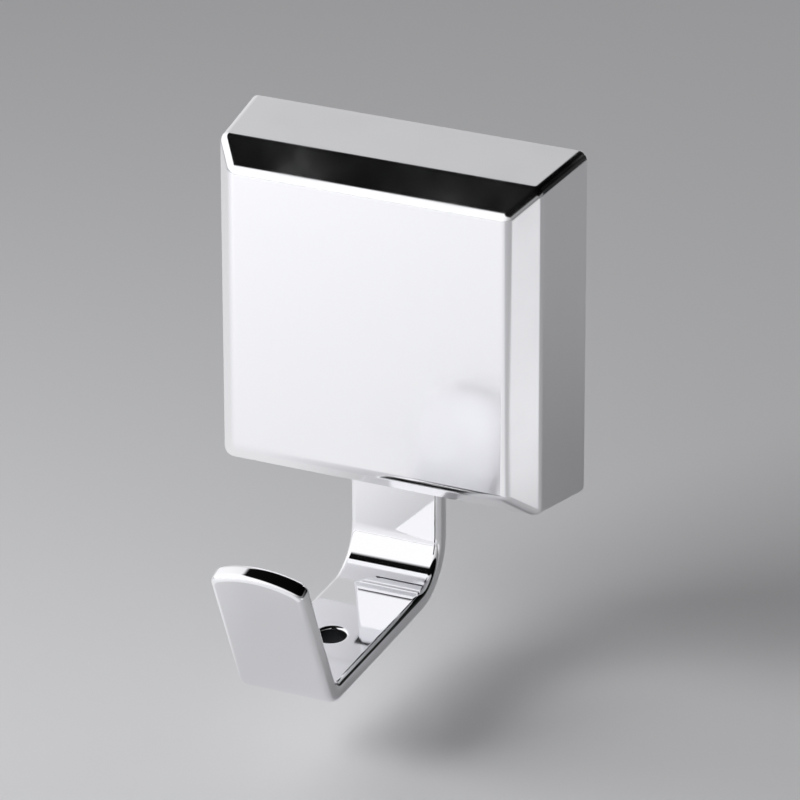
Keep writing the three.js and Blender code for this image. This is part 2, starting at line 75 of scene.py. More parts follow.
# Fineness of the meshes.
ROUND_STEPS = 128
SMALL_ROUND_STEPS = 48
EDGE_SEGMENTS = 6
SMALL_EDGE_SEGMENTS = 3
BEND_STEPS = 28
LIP_BEND_STEPS = 16
CORNER_STEPS = 10
# A corner of the lip's tip crosses the side of the strap at this angle, and its cutter runs on to the next.
CORNER_MEETING = math.radians(76)
CORNER_END = math.radians(84)
ARCH_STEPS = 12
LOBE_STEPS = 16
SMOOTH_ANGLE = math.radians(32)
SHARP_ANGLE = math.radians(40)
MERGE_DISTANCE = 1e-6
# How far a cutter reaches past what it cuts, and how far two pieces overlap before they are joined.
OVERRUN = 1 * MM
WELD = 0.4 * MM
# How far an ear lies under the faces of the plate that it is joined to.
EAR_STEP = 0.05 * MM
# How far the hub of the cup stands out behind the dome.
CUP_STEP = 0.15 * MM
# The share of the eye's radius at which the strap starts, under the cup's axis.
EYE_SHARE = 0.7
# Roundings of the pieces under the cover.
PLATE_EDGE = 0.3 * MM
CUP_EDGE = 0.35 * MM
TAB_EDGE = 0.2 * MM
KNOB_EDGE = 0.6 * MM
GRIP_EDGE = 0.9 * MM
WASHER_EDGE = 0.15 * MM
SCREW_EDGE = 0.4 * MM
# Places this close together count as the same.
NEAR = 0.02 * MM
# How much of a face's normal points one way if the face looks that way, and if it stands upright to it.
FACING = 0.5
UPRIGHT = 0.02
# The set-back that a full bevel weight stands for.
WIDEST_EDGE = 4 * MM
# The share of the cover's wall that counts as its outer skin.
INSIDE_SHARE = 0.6
# The place of the dull plating among the materials of a plated piece; in the drain hole its dark tint is
# painted shade.
DULL = 1

QUARTER = math.pi / 2
FULL_TURN = 2 * math.pi
# The share of a distance along a diagonal that lies across, and also up.
DIAGONAL = math.sqrt(0.5)
CUP_AXIS = (0, 1, 0)
ACROSS = (1, 0, 0)
CORNERS = [(1, 1), (-1, 1), (-1, -1), (1, -1)]

# The curve of sRGB colours.
SRGB_FULL = 255
SRGB_TOE = 0.04045
SRGB_TOE_SLOPE = 12.92
SRGB_OFFSET = 0.055
SRGB_POWER = 2.4


def length(name, description, size):
    """A length that is shown in the sidebar, given in millimetres."""
    return bpy.props.FloatProperty(
        name=name, description=description, default=size * MM, min=0, precision=5, unit="LENGTH")


def angle(name, description, degrees):
    """An angle that is shown in the sidebar, given in degrees."""
    return bpy.props.FloatProperty(
        name=name, description=description, default=math.radians(degrees), unit="ROTATION")


def linear_channel(value):
    """The linear strength of one sRGB channel."""
    if value <= SRGB_TOE:
        return value / SRGB_TOE_SLOPE
    return ((value + SRGB_OFFSET) / (1 + SRGB_OFFSET)) ** SRGB_POWER


def linear(code):
    """The linear RGBA of an sRGB hex colour."""
    channels = [int(code[start:start + 2], 16) / SRGB_FULL for start in (1, 3, 5)]
    return (*map(linear_channel, channels), 1)


def colour(name, description, code):
    """A colour that is shown in the sidebar, given as an sRGB hex value."""
    return bpy.props.FloatVectorProperty(
        name=name, description=description, default=linear(code), size=4, min=0, max=1, subtype="COLOR")


class CoverSizes(bpy.types.PropertyGroup):
    """Sizes of the square cover."""
    side_draft: length("Side draft", "How far a side leans in over its depth", 1.55)
    bevel_depth: length("Bevel depth", "Depth of the wide bevel round the front", 5.05)
    bevel_inset: length("Bevel inset", "How far the bevel leads in", 4.2)
    wall: length("Wall", "Thickness of the shell", 2)
    front_edge: length("Front edge", "Set-back of the rounding round the front", 1.1)
    mitre_edge: length("Mitre edge", "Set-back of the rounding where two bevels meet", 1.2)
    corner_edge: length("Corner edge", "Set-back of the rounding where two sides meet", 1.7)
    bevel_edge: length("Bevel edge", "Set-back of the rounding between the bevel and the sides", 0.6)
    rim_radius: length("Rim radius", "Rounding of the rear rim and the notch", 0.3)
    notch_gap: length("Notch gap", "Clearance of the notch round the strap", 0.4)
    post_radius: length("Post radius", "Radius of the posts inside", 2.2)
    post_place: length("Post place", "Distance of a post from both middle planes", 23.515)
    post_tip: length("Post tip", "Depth at which the posts end", 5.4)


class HookSizes(bpy.types.PropertyGroup):
    """Sizes of the strap hook."""
    strap_width: length("Strap width", "Width of the strap", 17.4)
    strap_thickness: length("Strap thickness", "Thickness of the strap", 3.5)
    edge_radius: length("Edge radius", "Rounding along the strap", 1.1)
    bend_radius: length("Bend radius", "Inner radius of the lower bend", 8)
    bend_drop: length("Bend drop", "How far the centre of the bend lies under the cup's axis", 41.15)
    floor_slope: angle("Floor slope", "Slope of the floor down to the lip", 4.2)
    floor_length: length("Floor length", "Length of the floor", 31.8)
    lip_bend_radius: length("Lip bend radius", "Inner radius of the bend to the lip", 2)
    lip_lean: angle("Lip lean", "How far the lip leans out", 24)
    lip_length: length("Lip length", "Length of the lip to its tip", 26.8)
    lip_arch: length("Lip arch", "Rise of the arched tip", 2.3)
    lip_corner: length("Lip corner", "Radius of the rounding at the tip's corners", 2.6)
    drain_radius: length("Drain hole radius", "Radius of the hole in the floor", 2.6)
    drain_rim: length("Drain hole rim", "Width of the rim of the hole", 0.5)
    drain_place: length("Drain hole place", "Distance of the hole along the floor", 18)
    eye_hole: length("Eye hole", "Radius of the hole that the boss goes through", 12.3)


class WorksSizes(bpy.types.PropertyGroup):
    """Sizes of the pieces under the cover."""
    web_back: length("Web back", "Depth of the plate's rear face", 5.2)
    web_front: length("Web front", "Depth of the plate's front face", 7.1)
    skirt_wall: length("Skirt wall", "Thickness of the skirt that presses on the cup", 2.2)
    boss_radius: length("Boss radius", "Radius of the boss that carries the knob", 12)
    recess_radius: length("Recess radius", "Radius of the recess for the cup's hub", 9.3)
    ear_radius: length("Ear radius", "Radius of the ears that hold the cover", 4.6)
    ear_arm: length("Ear arm", "How far the arm of an ear runs into the plate", 7)
    ear_hole: length("Ear hole", "Radius of the hole for a post", 2.5)
    screw_circle: length("Screw circle", "Distance of the screws from the axis", 16.15)
    screw_hole: length("Screw hole", "Radius of the screw holes", 1.8)
    pillar_wall: length("Pillar wall", "Wall round a screw hole", 1.5)
    pillar_drop: length("Pillar drop", "How far a screw pillar stands out at the rear", 0.8)
    stud_hole: length("Stud hole", "Radius of the hole for the stud", 5.3)
    stud_hole_flat: length("Stud hole flat", "Distance of the hole's flats from the axis", 4)
    cup_radius: length("Cup radius", "Outer radius of the suction cup", 28.515)
    cup_contact: length("Cup contact", "Width of the rim that touches the wall", 3)
    cup_rim: length("Cup rim", "Thickness of the cup's rim", 1.2)
    cup_chamber: length("Cup chamber", "Depth of the cup at rest", 3.2)
    cup_dome: length("Cup dome", "Thickness of the cup's dome", 1.6)
    cup_hub_radius: length("Cup hub radius", "Radius of the cup's hub", 9)
    cup_hub_front: length("Cup hub front", "Depth of the hub's front", 6.8)
    cup_pocket_radius: length("Pocket radius", "Radius of the pocket for the stud's flange", 7.3)
    cup_pocket_back: length("Pocket back", "Depth of the pocket's rear face", 4.2)
    cup_pocket_front: length("Pocket front", "Depth of the pocket's front face", 5.9)
    tab_width: length("Tab width", "Width of the release tab", 9)
    tab_reach: length("Tab reach", "How far the tab stands out from the rim", 6.5)
    tab_thickness: length("Tab thickness", "Thickness of the tab", 0.9)
    knob_disc_back: length("Knob disc back", "Depth of the rear face of the knob's disc", 13.45)
    knob_disc: length("Knob disc", "Thickness of the knob's disc", 2.6)
    knob_lobe: length("Knob lobe", "Height of a lobe on the knob's edge", 1.4)
    knob_hub: length("Knob hub", "Radius of the knob's hub", 10.7)
    knob_bore: length("Knob bore", "Radius of the bore for the brass insert", 8.1)
    knob_bore_front: length("Knob bore front", "Depth at which the bore ends", 18.15)
    knob_bar_length: length("Grip length", "Length of the grip bar", 34)
    knob_bar_width: length("Grip width", "Width of the grip bar", 13)
    knob_lobes: bpy.props.IntProperty(
        name="Lobes", description="Lobes on the knob's edge", default=10, min=3)
    screw_radius: length("Screw radius", "Radius of a screw's shank", 1.5)
    screw_head: length("Screw head", "Radius of a screw's head", 2.8)
    screw_head_height: length("Screw head height", "Height of a screw's head", 1.75)
    screw_point: length("Screw point", "Length of a screw's point", 1.4)
    cross_width: length("Cross width", "Width of the cross recess", 0.8)
    cross_length: length("Cross length", "Length of the cross recess", 3.4)
    cross_depth: length("Cross depth", "Depth of the cross recess", 1.1)


class Finishes(bpy.types.PropertyGroup):
    """Colours of the materials and the stage."""
    cover_chrome: colour("Cover chrome", "Bright chrome on the plastic cover", "#f8f8fa")
    hook_chrome: colour("Hook chrome", "Bright chrome on the zinc hook", "#f5f5f7")
    black_plastic: colour("Black plastic", "Moulded plastic of the pressure plate", "#1d1e20")
    clear_rubber: colour("Clear rubber", "Soft plastic of the cup", "#e8f0f3")
    washer_plastic: colour("Washer plastic", "Slippery plastic of the washer", "#e8e2d2")
    knob_plastic: colour("Knob plastic", "Moulded plastic of the knob", "#8b8e93")
    stud_steel: colour("Stud steel", "Zinc-plated steel of the stud", "#b4b8be")
    screw_steel: colour("Screw steel", "Nickel-plated steel of the screws", "#c9c8c4")
    # The drain hole's dark tint is painted shade, on the dull finish of thin plating.
    painted_shade_on_thin_zinc_plating: colour("Painted shade on thin zinc plating", "Painted shade on dull plating in the drain hole", "#343537")
    thin_plastic_plating: colour("Thin plating on plastic", "Dull plating inside the cover", "#8f8e8b")
    brass: colour("Brass", "Turned brass of the insert", "#d2ad62")
    floor: colour("Floor", "Pale floor of the studio", "#e7e7e9")


def select_only(piece):
    """Makes a piece the one that the next operators act on."""
    if bpy.context.object is not None and bpy.context.object.mode != "OBJECT":
        bpy.ops.object.mode_set(mode="OBJECT")
    bpy.ops.object.select_all(action="DESELECT")
    piece.select_set(True)
    bpy.context.view_layer.objects.active = piece


def begin(name, add, stretch=(1, 1, 1), **settings):
    """Adds a primitive, puts its place and size into its mesh, and opens it for editing."""
    bpy.ops.object.select_all(action="DESELECT")
    add(**settings)
    piece = bpy.context.object
    piece.name = name
    piece.scale = stretch
    bpy.ops.object.transform_apply(location=True, rotation=True, scale=True)
    bpy.ops.object.mode_set(mode="EDIT")
    return piece


def pick(piece, kind, test):
    """Selects the vertices, edges or faces of the open piece that pass a test, and nothing else."""
    bpy.ops.mesh.select_mode(type=kind)
    bpy.ops.mesh.select_all(action="DESELECT")
    mesh = bmesh.from_edit_mesh(piece.data)
    items = {"VERT": mesh.verts, "EDGE": mesh.edges, "FACE": mesh.faces}[kind]
    found = [item for item in items if test(item)]
    if not found:
        raise RuntimeError(f"{piece.name}: no {kind.lower()} was found to work on")
    for item in found:
        item.select_set(True)
    mesh.select_flush_mode()
    bmesh.update_edit_mesh(piece.data)


def fold(edge):
    """The angle between the two faces at an edge, or a full turn at an open edge."""
    return edge.calc_face_angle(FULL_TURN)


def push(offset):
    """Extrudes what is selected by an offset."""
    bpy.ops.mesh.extrude_region_move(TRANSFORM_OT_translate={"value": offset})


def resize(across, depth, up, centre):
    """Scales what is selected about a centre."""
    bpy.ops.transform.resize(value=(across, depth, up), center_override=centre)


def tidy():
    """Merges doubled points of the open piece and turns its faces outwards."""
    bpy.ops.mesh.select_mode(type="VERT")
    bpy.ops.mesh.select_all(action="SELECT")
    bpy.ops.mesh.remove_doubles(threshold=MERGE_DISTANCE)
    bpy.ops.mesh.normals_make_consistent(inside=False)


def close(piece):
    """Ends the editing of a piece."""
    bpy.ops.object.mode_set(mode="OBJECT")
    return piece


def apply_modifier(piece, kind, **settings):
    """Adds a modifier to a piece and applies it."""
    select_only(piece)
    modifier = piece.modifiers.new(kind.title(), kind)
    for name, value in settings.items():
        setattr(modifier, name, value)
    bpy.ops.object.modifier_apply(modifier=modifier.name)


def combine(piece, tool, operation):
    """Joins a tool to a piece, or cuts the piece with it, and removes the tool."""
    apply_modifier(piece, "BOOLEAN", object=tool, operation=operation, solver="EXACT")
    bpy.data.objects.remove(tool, do_unlink=True)


def join(piece, *tools):
    """Joins tools to a piece as one body."""
    for tool in tools:
        combine(piece, tool, "UNION")


def cut(piece, *tools):
    """Cuts tools out of a piece."""
    for tool in tools:
        combine(piece, tool, "DIFFERENCE")


def round_edges(piece, radius, segments=EDGE_SEGMENTS):
    """Rounds every edge of a piece that is sharper than a bend's facets."""
    apply_modifier(piece, "BEVEL", width=radius, segments=segments, limit_method="ANGLE",
                   angle_limit=SHARP_ANGLE, use_clamp_overlap=False)


def dress(piece, material, body):
    """Smooths a piece and sets its finish and the body that it moves with."""
    select_only(piece)
    bpy.ops.object.shade_smooth_by_angle(angle=SMOOTH_ANGLE)
    piece.data.materials.clear()
    piece.data.materials.append(material)
    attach(piece, body)


def complete(piece, material, body, slot, *nodes):
    """Dresses a finished piece, keeps its flats flat and hides the nodes that it stands for."""
    dress(piece, material, body)
    apply_modifier(piece, "WEIGHTED_NORMAL", keep_sharp=True)
    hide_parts(*nodes)


def disc(name, radius, back, front, across=0, up=0, steps=SMALL_ROUND_STEPS):
    """A round bar along the cup's axis between two depths."""
    piece = begin(name, bpy.ops.mesh.primitive_cylinder_add, vertices=steps, radius=radius,
                  depth=front - back, location=(across, -(front + back) / 2, up),
                  rotation=(QUARTER, 0, 0))
    return close(piece)


def block(name, width, height, back, front, across=0, up=0):
    """A rectangular bar between two depths."""
    piece = begin(name, bpy.ops.mesh.primitive_cube_add, size=1, stretch=(width, front - back, height),
                  location=(across, -(front + back) / 2, up))
    return close(piece)


def tongue(name, radius, back, front, across, up, run):
    """A flat bar with round ends that runs from a place towards the cup's axis, between two depths."""
    piece = disc(name, radius, back, front, across, up)
    place = Vector((across, 0, up))
    outward = place.normalized()
    bpy.ops.object.mode_set(mode="EDIT")
    pick(piece, "VERT", lambda point: (point.co - place).dot(outward) < -NEAR)
    bpy.ops.transform.translate(value=-outward * run)
    return close(piece)


def drawn(name, start, offsets):
    """Draws a line from a point by one offset after the other, and leaves it open for editing."""
    piece = begin(name, bpy.ops.mesh.primitive_plane_add, size=MM, location=start)
    bpy.ops.mesh.merge(type="CENTER")
    for offset in offsets:
        push(offset)
    bpy.ops.mesh.select_all(action="SELECT")
    bpy.ops.mesh.remove_doubles(threshold=MERGE_DISTANCE)
    return piece


def turned(name, profile, rounding, steps=ROUND_STEPS, segments=SMALL_EDGE_SEGMENTS):
    """Draws a profile of radius and depth, rounds its corners and spins it about the axis."""
    radius, depth = profile[0]
    offsets = [(far_radius - near_radius, near_depth - far_depth, 0)
               for (near_radius, near_depth), (far_radius, far_depth) in zip(profile, profile[1:])]
    piece = drawn(name, (radius, -depth, 0), offsets)
    pick(piece, "VERT", lambda point: point.co.x > NEAR and len(point.link_edges) > 1)
    bpy.ops.mesh.bevel(offset=rounding, segments=segments, affect="VERTICES")
    bpy.ops.mesh.select_all(action="SELECT")
    bpy.ops.mesh.spin(steps=steps, angle=FULL_TURN, center=(0, 0, 0), axis=CUP_AXIS)
    tidy()
    return close(piece)


def screw_place(works, right, top):
    """Where the screw at a corner stands, across and up."""
    reach = works.screw_circle * DIAGONAL
    return right * reach, top * reach


def copied(piece, name, across, up):
    """A copy of a piece with its own mesh, moved in the plane of the wall."""
    copy = piece.copy()
    copy.data = piece.data.copy()
    copy.name = name
    bpy.context.collection.objects.link(copy)
    copy.data.transform(Matrix.Translation((across, 0, up)))
    return copy


def node(tree, kind, sockets=None, **settings):
    """Adds a node, sets its properties and fills its inputs with values or links."""
    made = tree.nodes.new(kind)
    for name, value in settings.items():
        setattr(made, name, value)
    for name, value in (sockets or {}).items():
        if isinstance(value, bpy.types.NodeSocket):
            tree.links.new(value, made.inputs[name])
        else:
            made.inputs[name].default_value = value
    return made


def new_material(name):
    """An empty node material with its output, and the coordinates of the piece."""
    material = bpy.data.materials.new(name)
    material.use_nodes = True
    tree = material.node_tree
    tree.nodes.clear()
    output = node(tree, "ShaderNodeOutputMaterial")
    place = node(tree, "ShaderNodeTexCoord").outputs["Object"]
    return material, tree, output.inputs["Surface"], place


# Sizes of the patterns in the materials, and how rough and how clear the materials are.
CHROME_WAVE = 7 * MM
CHROME_WAVE_HEIGHT = 0.0016 * MM
CHROME_HAZE = 11 * MM
CHROME_HAZE_SHARE = 0.35
COVER_ROUGHNESS = 0.15
HOOK_ROUGHNESS = 0.04
ZINC_WAVE = 4 * MM
ZINC_WAVE_HEIGHT = 0.0012 * MM
# The grain of a mould and the marks of a tool are finer than this, and are drawn coarse enough to show.
MOULD_GRAIN = 0.35 * MM
MOULD_GRAIN_HEIGHT = 0.03 * MM
TOOL_MARK = 0.25 * MM
TOOL_MARK_HEIGHT = 0.008 * MM
TOOL_MARK_STRETCH = (1, 0.1, 1)
CLOUD = 2.5 * MM
THIN_PLATING_ROUGHNESS = 0.45
PLATE_ROUGHNESS = 0.42
KNOB_ROUGHNESS = 0.38
PVC_ROUGHNESS = 0.17
ACETAL_ROUGHNESS = 0.36
STUD_ROUGHNESS = 0.32
SCREW_ROUGHNESS = 0.26
BRASS_ROUGHNESS = 0.28
EVEN_SPREAD = 0.05
CLOUDY_SPREAD = 0.06
METAL = {"Metallic": 1.0}
ABS_IOR = 1.53
PVC_IOR = 1.52
PVC_CLEARNESS = 0.85
ACETAL_IOR = 1.48
ACETAL_GLOW = 0.2
ACETAL_GLOW_DEPTH = 1 * MM
# How fine the noise is, and the values between which most of it lies.
NOISE_DETAIL = 2.0
SMOOTH_DETAIL = 0.0
NOISE_LOW = 0.3
NOISE_HIGH = 0.7


def varied(tree, place, size, middle, spread):
    """A number that drifts round a middle over the surface, in patches of about this size."""
    cloud = node(tree, "ShaderNodeTexNoise", {"Vector": place, "Scale": 1 / size, "Detail": NOISE_DETAIL})
    drift = node(tree, "ShaderNodeMapRange", {
        "Value": cloud.outputs["Fac"], "From Min": NOISE_LOW, "From Max": NOISE_HIGH,
        "To Min": middle - spread, "To Max": middle + spread})
    return drift.outputs["Result"]


def relief(tree, place, size, height, detail=NOISE_DETAIL, stretch=None):
    """A surface normal disturbed by bumps of about this size and height, drawn out if there is a stretch."""
    if stretch:
        place = node(tree, "ShaderNodeMapping", {"Vector": place, "Scale": stretch}).outputs["Vector"]
    bumps = node(tree, "ShaderNodeTexNoise", {"Vector": place, "Scale": 1 / size, "Detail": detail})
    bump = node(tree, "ShaderNodeBump", {
        "Height": bumps.outputs["Fac"], "Strength": 1.0, "Distance": height})
    return bump.outputs["Normal"]


def finished(name, tint, haze, bumps, more):
    """A material of one tint with a haze, bumps and more settings of its shader."""
    material, tree, surface, place = new_material(name)
    shader = node(tree, "ShaderNodeBsdfPrincipled", {
        "Base Color": tint,
        "Roughness": varied(tree, place, *haze),
        "Normal": relief(tree, place, *bumps),
        **more})
    tree.links.new(shader.outputs["BSDF"], surface)
    return material


def chrome(name, tint, roughness, wave, wave_height):
    """Bright chrome plating: a mirror whose slow waves bend reflections a little, with a faint haze."""
    haze = (CHROME_HAZE, roughness, roughness * CHROME_HAZE_SHARE)
    return finished(name, tint, haze, (wave, wave_height, SMOOTH_DETAIL), METAL)


def thin_plating(name, tint):
    """Chrome where the bath hardly reached, in holes and hollows: thin, cloudy and dull; in the drain hole
    its dark tint is painted shade.
    """
    haze = (CLOUD, THIN_PLATING_ROUGHNESS, CLOUDY_SPREAD)
    return finished(name, tint, haze, (MOULD_GRAIN, TOOL_MARK_HEIGHT), METAL)


def moulded_plastic(name, tint, roughness):
    """ABS moulded against a spark-eroded tool: a satin skin with a fine even grain."""
    haze = (CLOUD, roughness, EVEN_SPREAD)
    return finished(name, tint, haze, (MOULD_GRAIN, MOULD_GRAIN_HEIGHT), {"IOR": ABS_IOR})


def soft_plastic(name, tint):
    """Clear soft PVC: light goes through it, scattered a little by its moulded skin."""
    haze = (CLOUD, PVC_ROUGHNESS, EVEN_SPREAD)
    return finished(name, tint, haze, (CLOUD, TOOL_MARK_HEIGHT), {
        "IOR": PVC_IOR, "Transmission Weight": PVC_CLEARNESS})


def acetal(name, tint):
    """Acetal: a waxy ivory plastic that lets a little light into its edges."""
    haze = (CLOUD, ACETAL_ROUGHNESS, CLOUDY_SPREAD)
    return finished(name, tint, haze, (MOULD_GRAIN, TOOL_MARK_HEIGHT), {
        "IOR": ACETAL_IOR, "Subsurface Weight": ACETAL_GLOW, "Subsurface Scale": ACETAL_GLOW_DEPTH})


def machined_metal(name, tint, roughness):
    """Machined metal: fine marks along its axis, under a slightly cloudy sheen."""
    haze = (CLOUD, roughness, CLOUDY_SPREAD)
    marks = (TOOL_MARK, TOOL_MARK_HEIGHT, NOISE_DETAIL, TOOL_MARK_STRETCH)
    return finished(name, tint, haze, marks, METAL)


class WALLHOOK_OT_cover(bpy.types.Operator):
    """Models the square cover as a hollow shell with a wide bevel, a notch for the strap and four posts"""
    bl_idname = "wallhook.cover"
    bl_label = "Cover"

    def execute(self, context):
        sizes = context.scene.wall_hook_cover
        cover = self.shell(sizes)
        self.posts(cover, sizes)
        self.notch(cover, sizes, context.scene.wall_hook_hook)
        self.round_rim(cover, sizes)
        finishes = context.scene.wall_hook_finishes
        finish = chrome("Chrome on ABS", finishes.cover_chrome, COVER_ROUGHNESS, CHROME_WAVE,
                        CHROME_WAVE_HEIGHT)
        complete(cover, finish, "cover", "chromed_plastic", "cover_shell")
        cover.data.materials.append(thin_plating("Thin plating on ABS", finishes.thin_plastic_plating))
        self.dull_inside(cover, sizes)
        return {"FINISHED"}

    def side_end(self, sizes):
        """The depth at which the sides end and the wide bevel begins."""
        return COVER_FRONT - sizes.bevel_depth

    def side_reach(self, sizes, depth):
        """How far the leaning sides stand from the middle planes at a depth."""
        share = (depth - COVER_REAR) / (self.side_end(sizes) - COVER_REAR)
        return COVER_HALF - sizes.side_draft * share

    def shell(self, sizes):
        """The hollow shell, open at the rear, with a rounding of its own for each kind of edge."""
        side_end = self.side_end(sizes)
        side_half = COVER_HALF - sizes.side_draft
        front_half = side_half - sizes.bevel_inset
        cover = begin("chrome_cover", bpy.ops.mesh.primitive_cube_add, size=1,
                      stretch=(2 * COVER_HALF, side_end - COVER_REAR, 2 * COVER_HALF),
                      location=(0, -(COVER_REAR + side_end) / 2, 0))
        pick(cover, "FACE", lambda face: face.normal.y < -FACING)
        resize(side_half / COVER_HALF, 1, side_half / COVER_HALF, (0, -side_end, 0))
        push((0, -sizes.bevel_depth, 0))
        resize(front_half / side_half, 1, front_half / side_half, (0, -COVER_FRONT, 0))
        pick(cover, "FACE", lambda face: face.normal.y > FACING)
        bpy.ops.mesh.delete(type="FACE")
        tidy()
        self.mark_edges(cover, sizes.front_edge, COVER_FRONT, COVER_FRONT)
        self.mark_edges(cover, sizes.mitre_edge, COVER_FRONT, side_end)
        self.mark_edges(cover, sizes.bevel_edge, side_end, side_end)
        self.mark_edges(cover, sizes.corner_edge, side_end, COVER_REAR)
        close(cover)
        apply_modifier(cover, "SOLIDIFY", thickness=sizes.wall, offset=-1, use_even_offset=True)
        apply_modifier(cover, "BEVEL", width=WIDEST_EDGE, segments=EDGE_SEGMENTS, limit_method="WEIGHT")
        return cover

    def posts(self, cover, sizes):
        """Joins the four posts that go into the ears of the pressure plate."""
        for right, top in CORNERS:
            post = disc("post", sizes.post_radius, sizes.post_tip, COVER_FRONT - sizes.wall + WELD,
                        right * sizes.post_place, top * sizes.post_place)
            round_edges(post, sizes.rim_radius)
            join(cover, post)

    def notch(self, cover, sizes, strap):
        """Cuts the notch in the underside that the strap comes out of."""
        notch_front = -HOOK_HIGH.y + strap.strap_thickness + sizes.notch_gap
        cut(cover, block("notch", strap.strap_width + 2 * sizes.notch_gap, COVER_HALF,
                         COVER_REAR - OVERRUN, notch_front, up=-COVER_HALF))

    def round_rim(self, cover, sizes):
        """Rounds the sharp edges that are left on the outside, at the rear rim and the notch."""

        def is_outside(point):
            depth = -point.co.y
            reach = max(abs(point.co.x), abs(point.co.z))
            off = abs(reach - self.side_reach(sizes, depth))
            return depth < self.side_end(sizes) and off < sizes.wall / 2

        bpy.ops.object.mode_set(mode="EDIT")
        pick(cover, "EDGE", lambda edge: fold(edge) > SHARP_ANGLE and all(map(is_outside, edge.verts)))
        bpy.ops.mesh.bevel(offset=sizes.rim_radius, segments=SMALL_EDGE_SEGMENTS, affect="EDGES")
        close(cover)

    def dull_inside(self, cover, sizes):
        """Gives the faces inside the shell, and the posts, the look of thin plating."""
        side_end = self.side_end(sizes)
        skin = sizes.wall * INSIDE_SHARE
        for face in cover.data.polygons:
            depth = -face.center.y
            outline = self.side_reach(sizes, min(depth, side_end))
            outline -= sizes.bevel_inset * max(depth - side_end, 0) / sizes.bevel_depth
            reach = max(abs(face.center.x), abs(face.center.z))
            if reach < outline - skin and depth < COVER_FRONT - skin:
                face.material_index = DULL

    def mark_edges(self, cover, set_back, near, far):
        """Marks the edges between two depths with the set-back that they are rounded by."""
        wanted = sorted((near, far))

        def joins(edge):
            depths = sorted(-point.co.y for point in edge.verts)
            return all(abs(found - depth) < NEAR for found, depth in zip(depths, wanted))

        pick(cover, "EDGE", joins)
        bpy.ops.transform.edge_bevelweight(value=set_back / WIDEST_EDGE)


